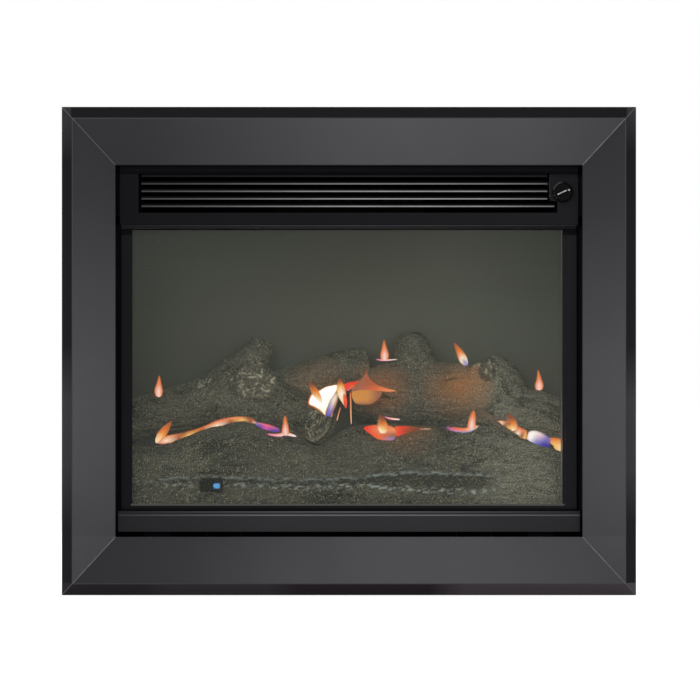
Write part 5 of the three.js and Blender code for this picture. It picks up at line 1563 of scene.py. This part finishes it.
def makeSheetFlame(name, glow, y, outline, logs):
    # a thin closed sheet cut to a smooth outline; its map spans the outline's own width and height
    count = len(outline)
    smooth = [splineAt([outline[(i + k) % count] for k in (-1, 0, 1, 2)], (1 + step / 4) / 3)
              for i in range(count) for step in range(4)]
    depth = min(frontOf(logs, x, z, y) for x, z in smooth) - raised.get(name, 0.0)
    left, foot = (min(p[k] for p in smooth) for k in (0, 1))
    right, top = (max(p[k] for p in smooth) for k in (0, 1))
    shape = bmesh.new()
    front = shape.faces.new([shape.verts.new((x, depth, z)) for x, z in smooth])
    drawOut(shape, front, (0, flameBody["sheet"], 0))
    bmesh.ops.triangulate(shape, faces=shape.faces[:])
    bmesh.ops.recalc_face_normals(shape, faces=shape.faces)
    uv = shape.loops.layers.uv.new("tongue")
    for face in shape.faces:
        for loop in face.loops:
            x, z = loop.vert.co.xz
            loop[uv].uv = ((x - left) / (right - left), (z - foot) / (top - foot))
    newPiece("flame_" + name, shape, flameGlows[glow], "casing", "log_ceramic")


logPieces = [piece for piece in bpy.data.objects if piece.name.startswith("bark_")]
bpy.context.view_layer.update()
for name, glow, y, line in flames:
    makeFlame(name, glow, y, line, logPieces)
for name, glow, y, outline in sheetFlames:
    makeSheetFlame(name, glow, y, outline, logPieces)
print("flames made:", len(flames) + len(sheetFlames))


# the camera, the floor and the light

studio = {
    "cameraX": 0.00125, "cameraHeight": 0.2387, "cameraDistance": 10.0,
    "viewWidth": 0.8374, "sensor": 36.0, "floorHeight": -0.0552, "floorSize": 60.0, "floorGlow": 0.72,
    "roomLight": 0.55}

# each lamp's place and size in m, and its power; all of them are aimed at the middle of the front
lamps = {
    "key lamp": [(-1.1, -3.2, 1.5), 1.8, 30], "fill lamp": [(1.5, -2.9, 0.9), 1.8, 16],
    "back lamp": [(0.4, 2.6, 2.2), 1.6, 40]}
lampAim = (0, 0, 0.2)


def makeCamera():
    data = bpy.data.cameras.new("camera")
    data.sensor_width = studio["sensor"]
    data.lens = studio["sensor"] * studio["cameraDistance"] / studio["viewWidth"]
    camera = linkObject("camera", data)
    camera.location = (studio["cameraX"], cadBounds[0][1] - studio["cameraDistance"], studio["cameraHeight"])
    camera.rotation_euler = (math.radians(90), 0, 0)
    bpy.context.scene.camera = camera


def seenDirectly(tree):
    # 1 for rays that come from the camera, a mirror or a clear pane
    rays = addNode(tree, "ShaderNodeLightPath")
    first = calculate(tree, "MAXIMUM", rays.outputs["Is Camera Ray"], rays.outputs["Is Glossy Ray"])
    return calculate(tree, "MAXIMUM", first, rays.outputs["Is Transmission Ray"])


def makeFloor():
    shape = bmesh.new()
    bmesh.ops.create_grid(shape, x_segments=1, y_segments=1, size=studio["floorSize"] / 2)
    bmesh.ops.translate(shape, verts=shape.verts, vec=(0, 0, studio["floorHeight"]))
    floor = asObject("floor", shape)
    material, tree, shader = newMaterial(
        "pale floor", Roughness=0.9, Specular_IOR_Level=0.0, Base_Color=(0.62, 0.62, 0.62, 1),
        Emission_Color=(1, 1, 1, 1))
    setInput(tree, shader.inputs["Emission Strength"], times(tree, seenDirectly(tree), studio["floorGlow"]))
    floor.data.materials.append(material)


def makeWorld():
    world = bpy.data.worlds.new("studio")
    world.use_nodes = True
    tree = world.node_tree
    background = tree.nodes["Background"]
    background.inputs["Color"].default_value = (1, 1, 1, 1)
    setInput(tree, background.inputs["Strength"],
             remap(tree, seenDirectly(tree), 0.0, 1.0, studio["roomLight"], 1.0))
    bpy.context.scene.world = world


def addLamp(name, stand, size, power):
    data = bpy.data.lights.new(name, "AREA")
    data.shape = "DISK"
    data.size = size
    data.energy = power
    lamp = linkObject(name, data)
    lamp.location = stand
    lamp.rotation_euler = (Vector(lampAim) - Vector(stand)).to_track_quat("-Z", "Y").to_euler()
    lamp.visible_camera = False


makeCamera()
makeFloor()
makeWorld()
for name, (stand, size, power) in lamps.items():
    addLamp(name, stand, size, power)
bpy.context.scene.view_settings.view_transform = "Standard"
print("stage set")
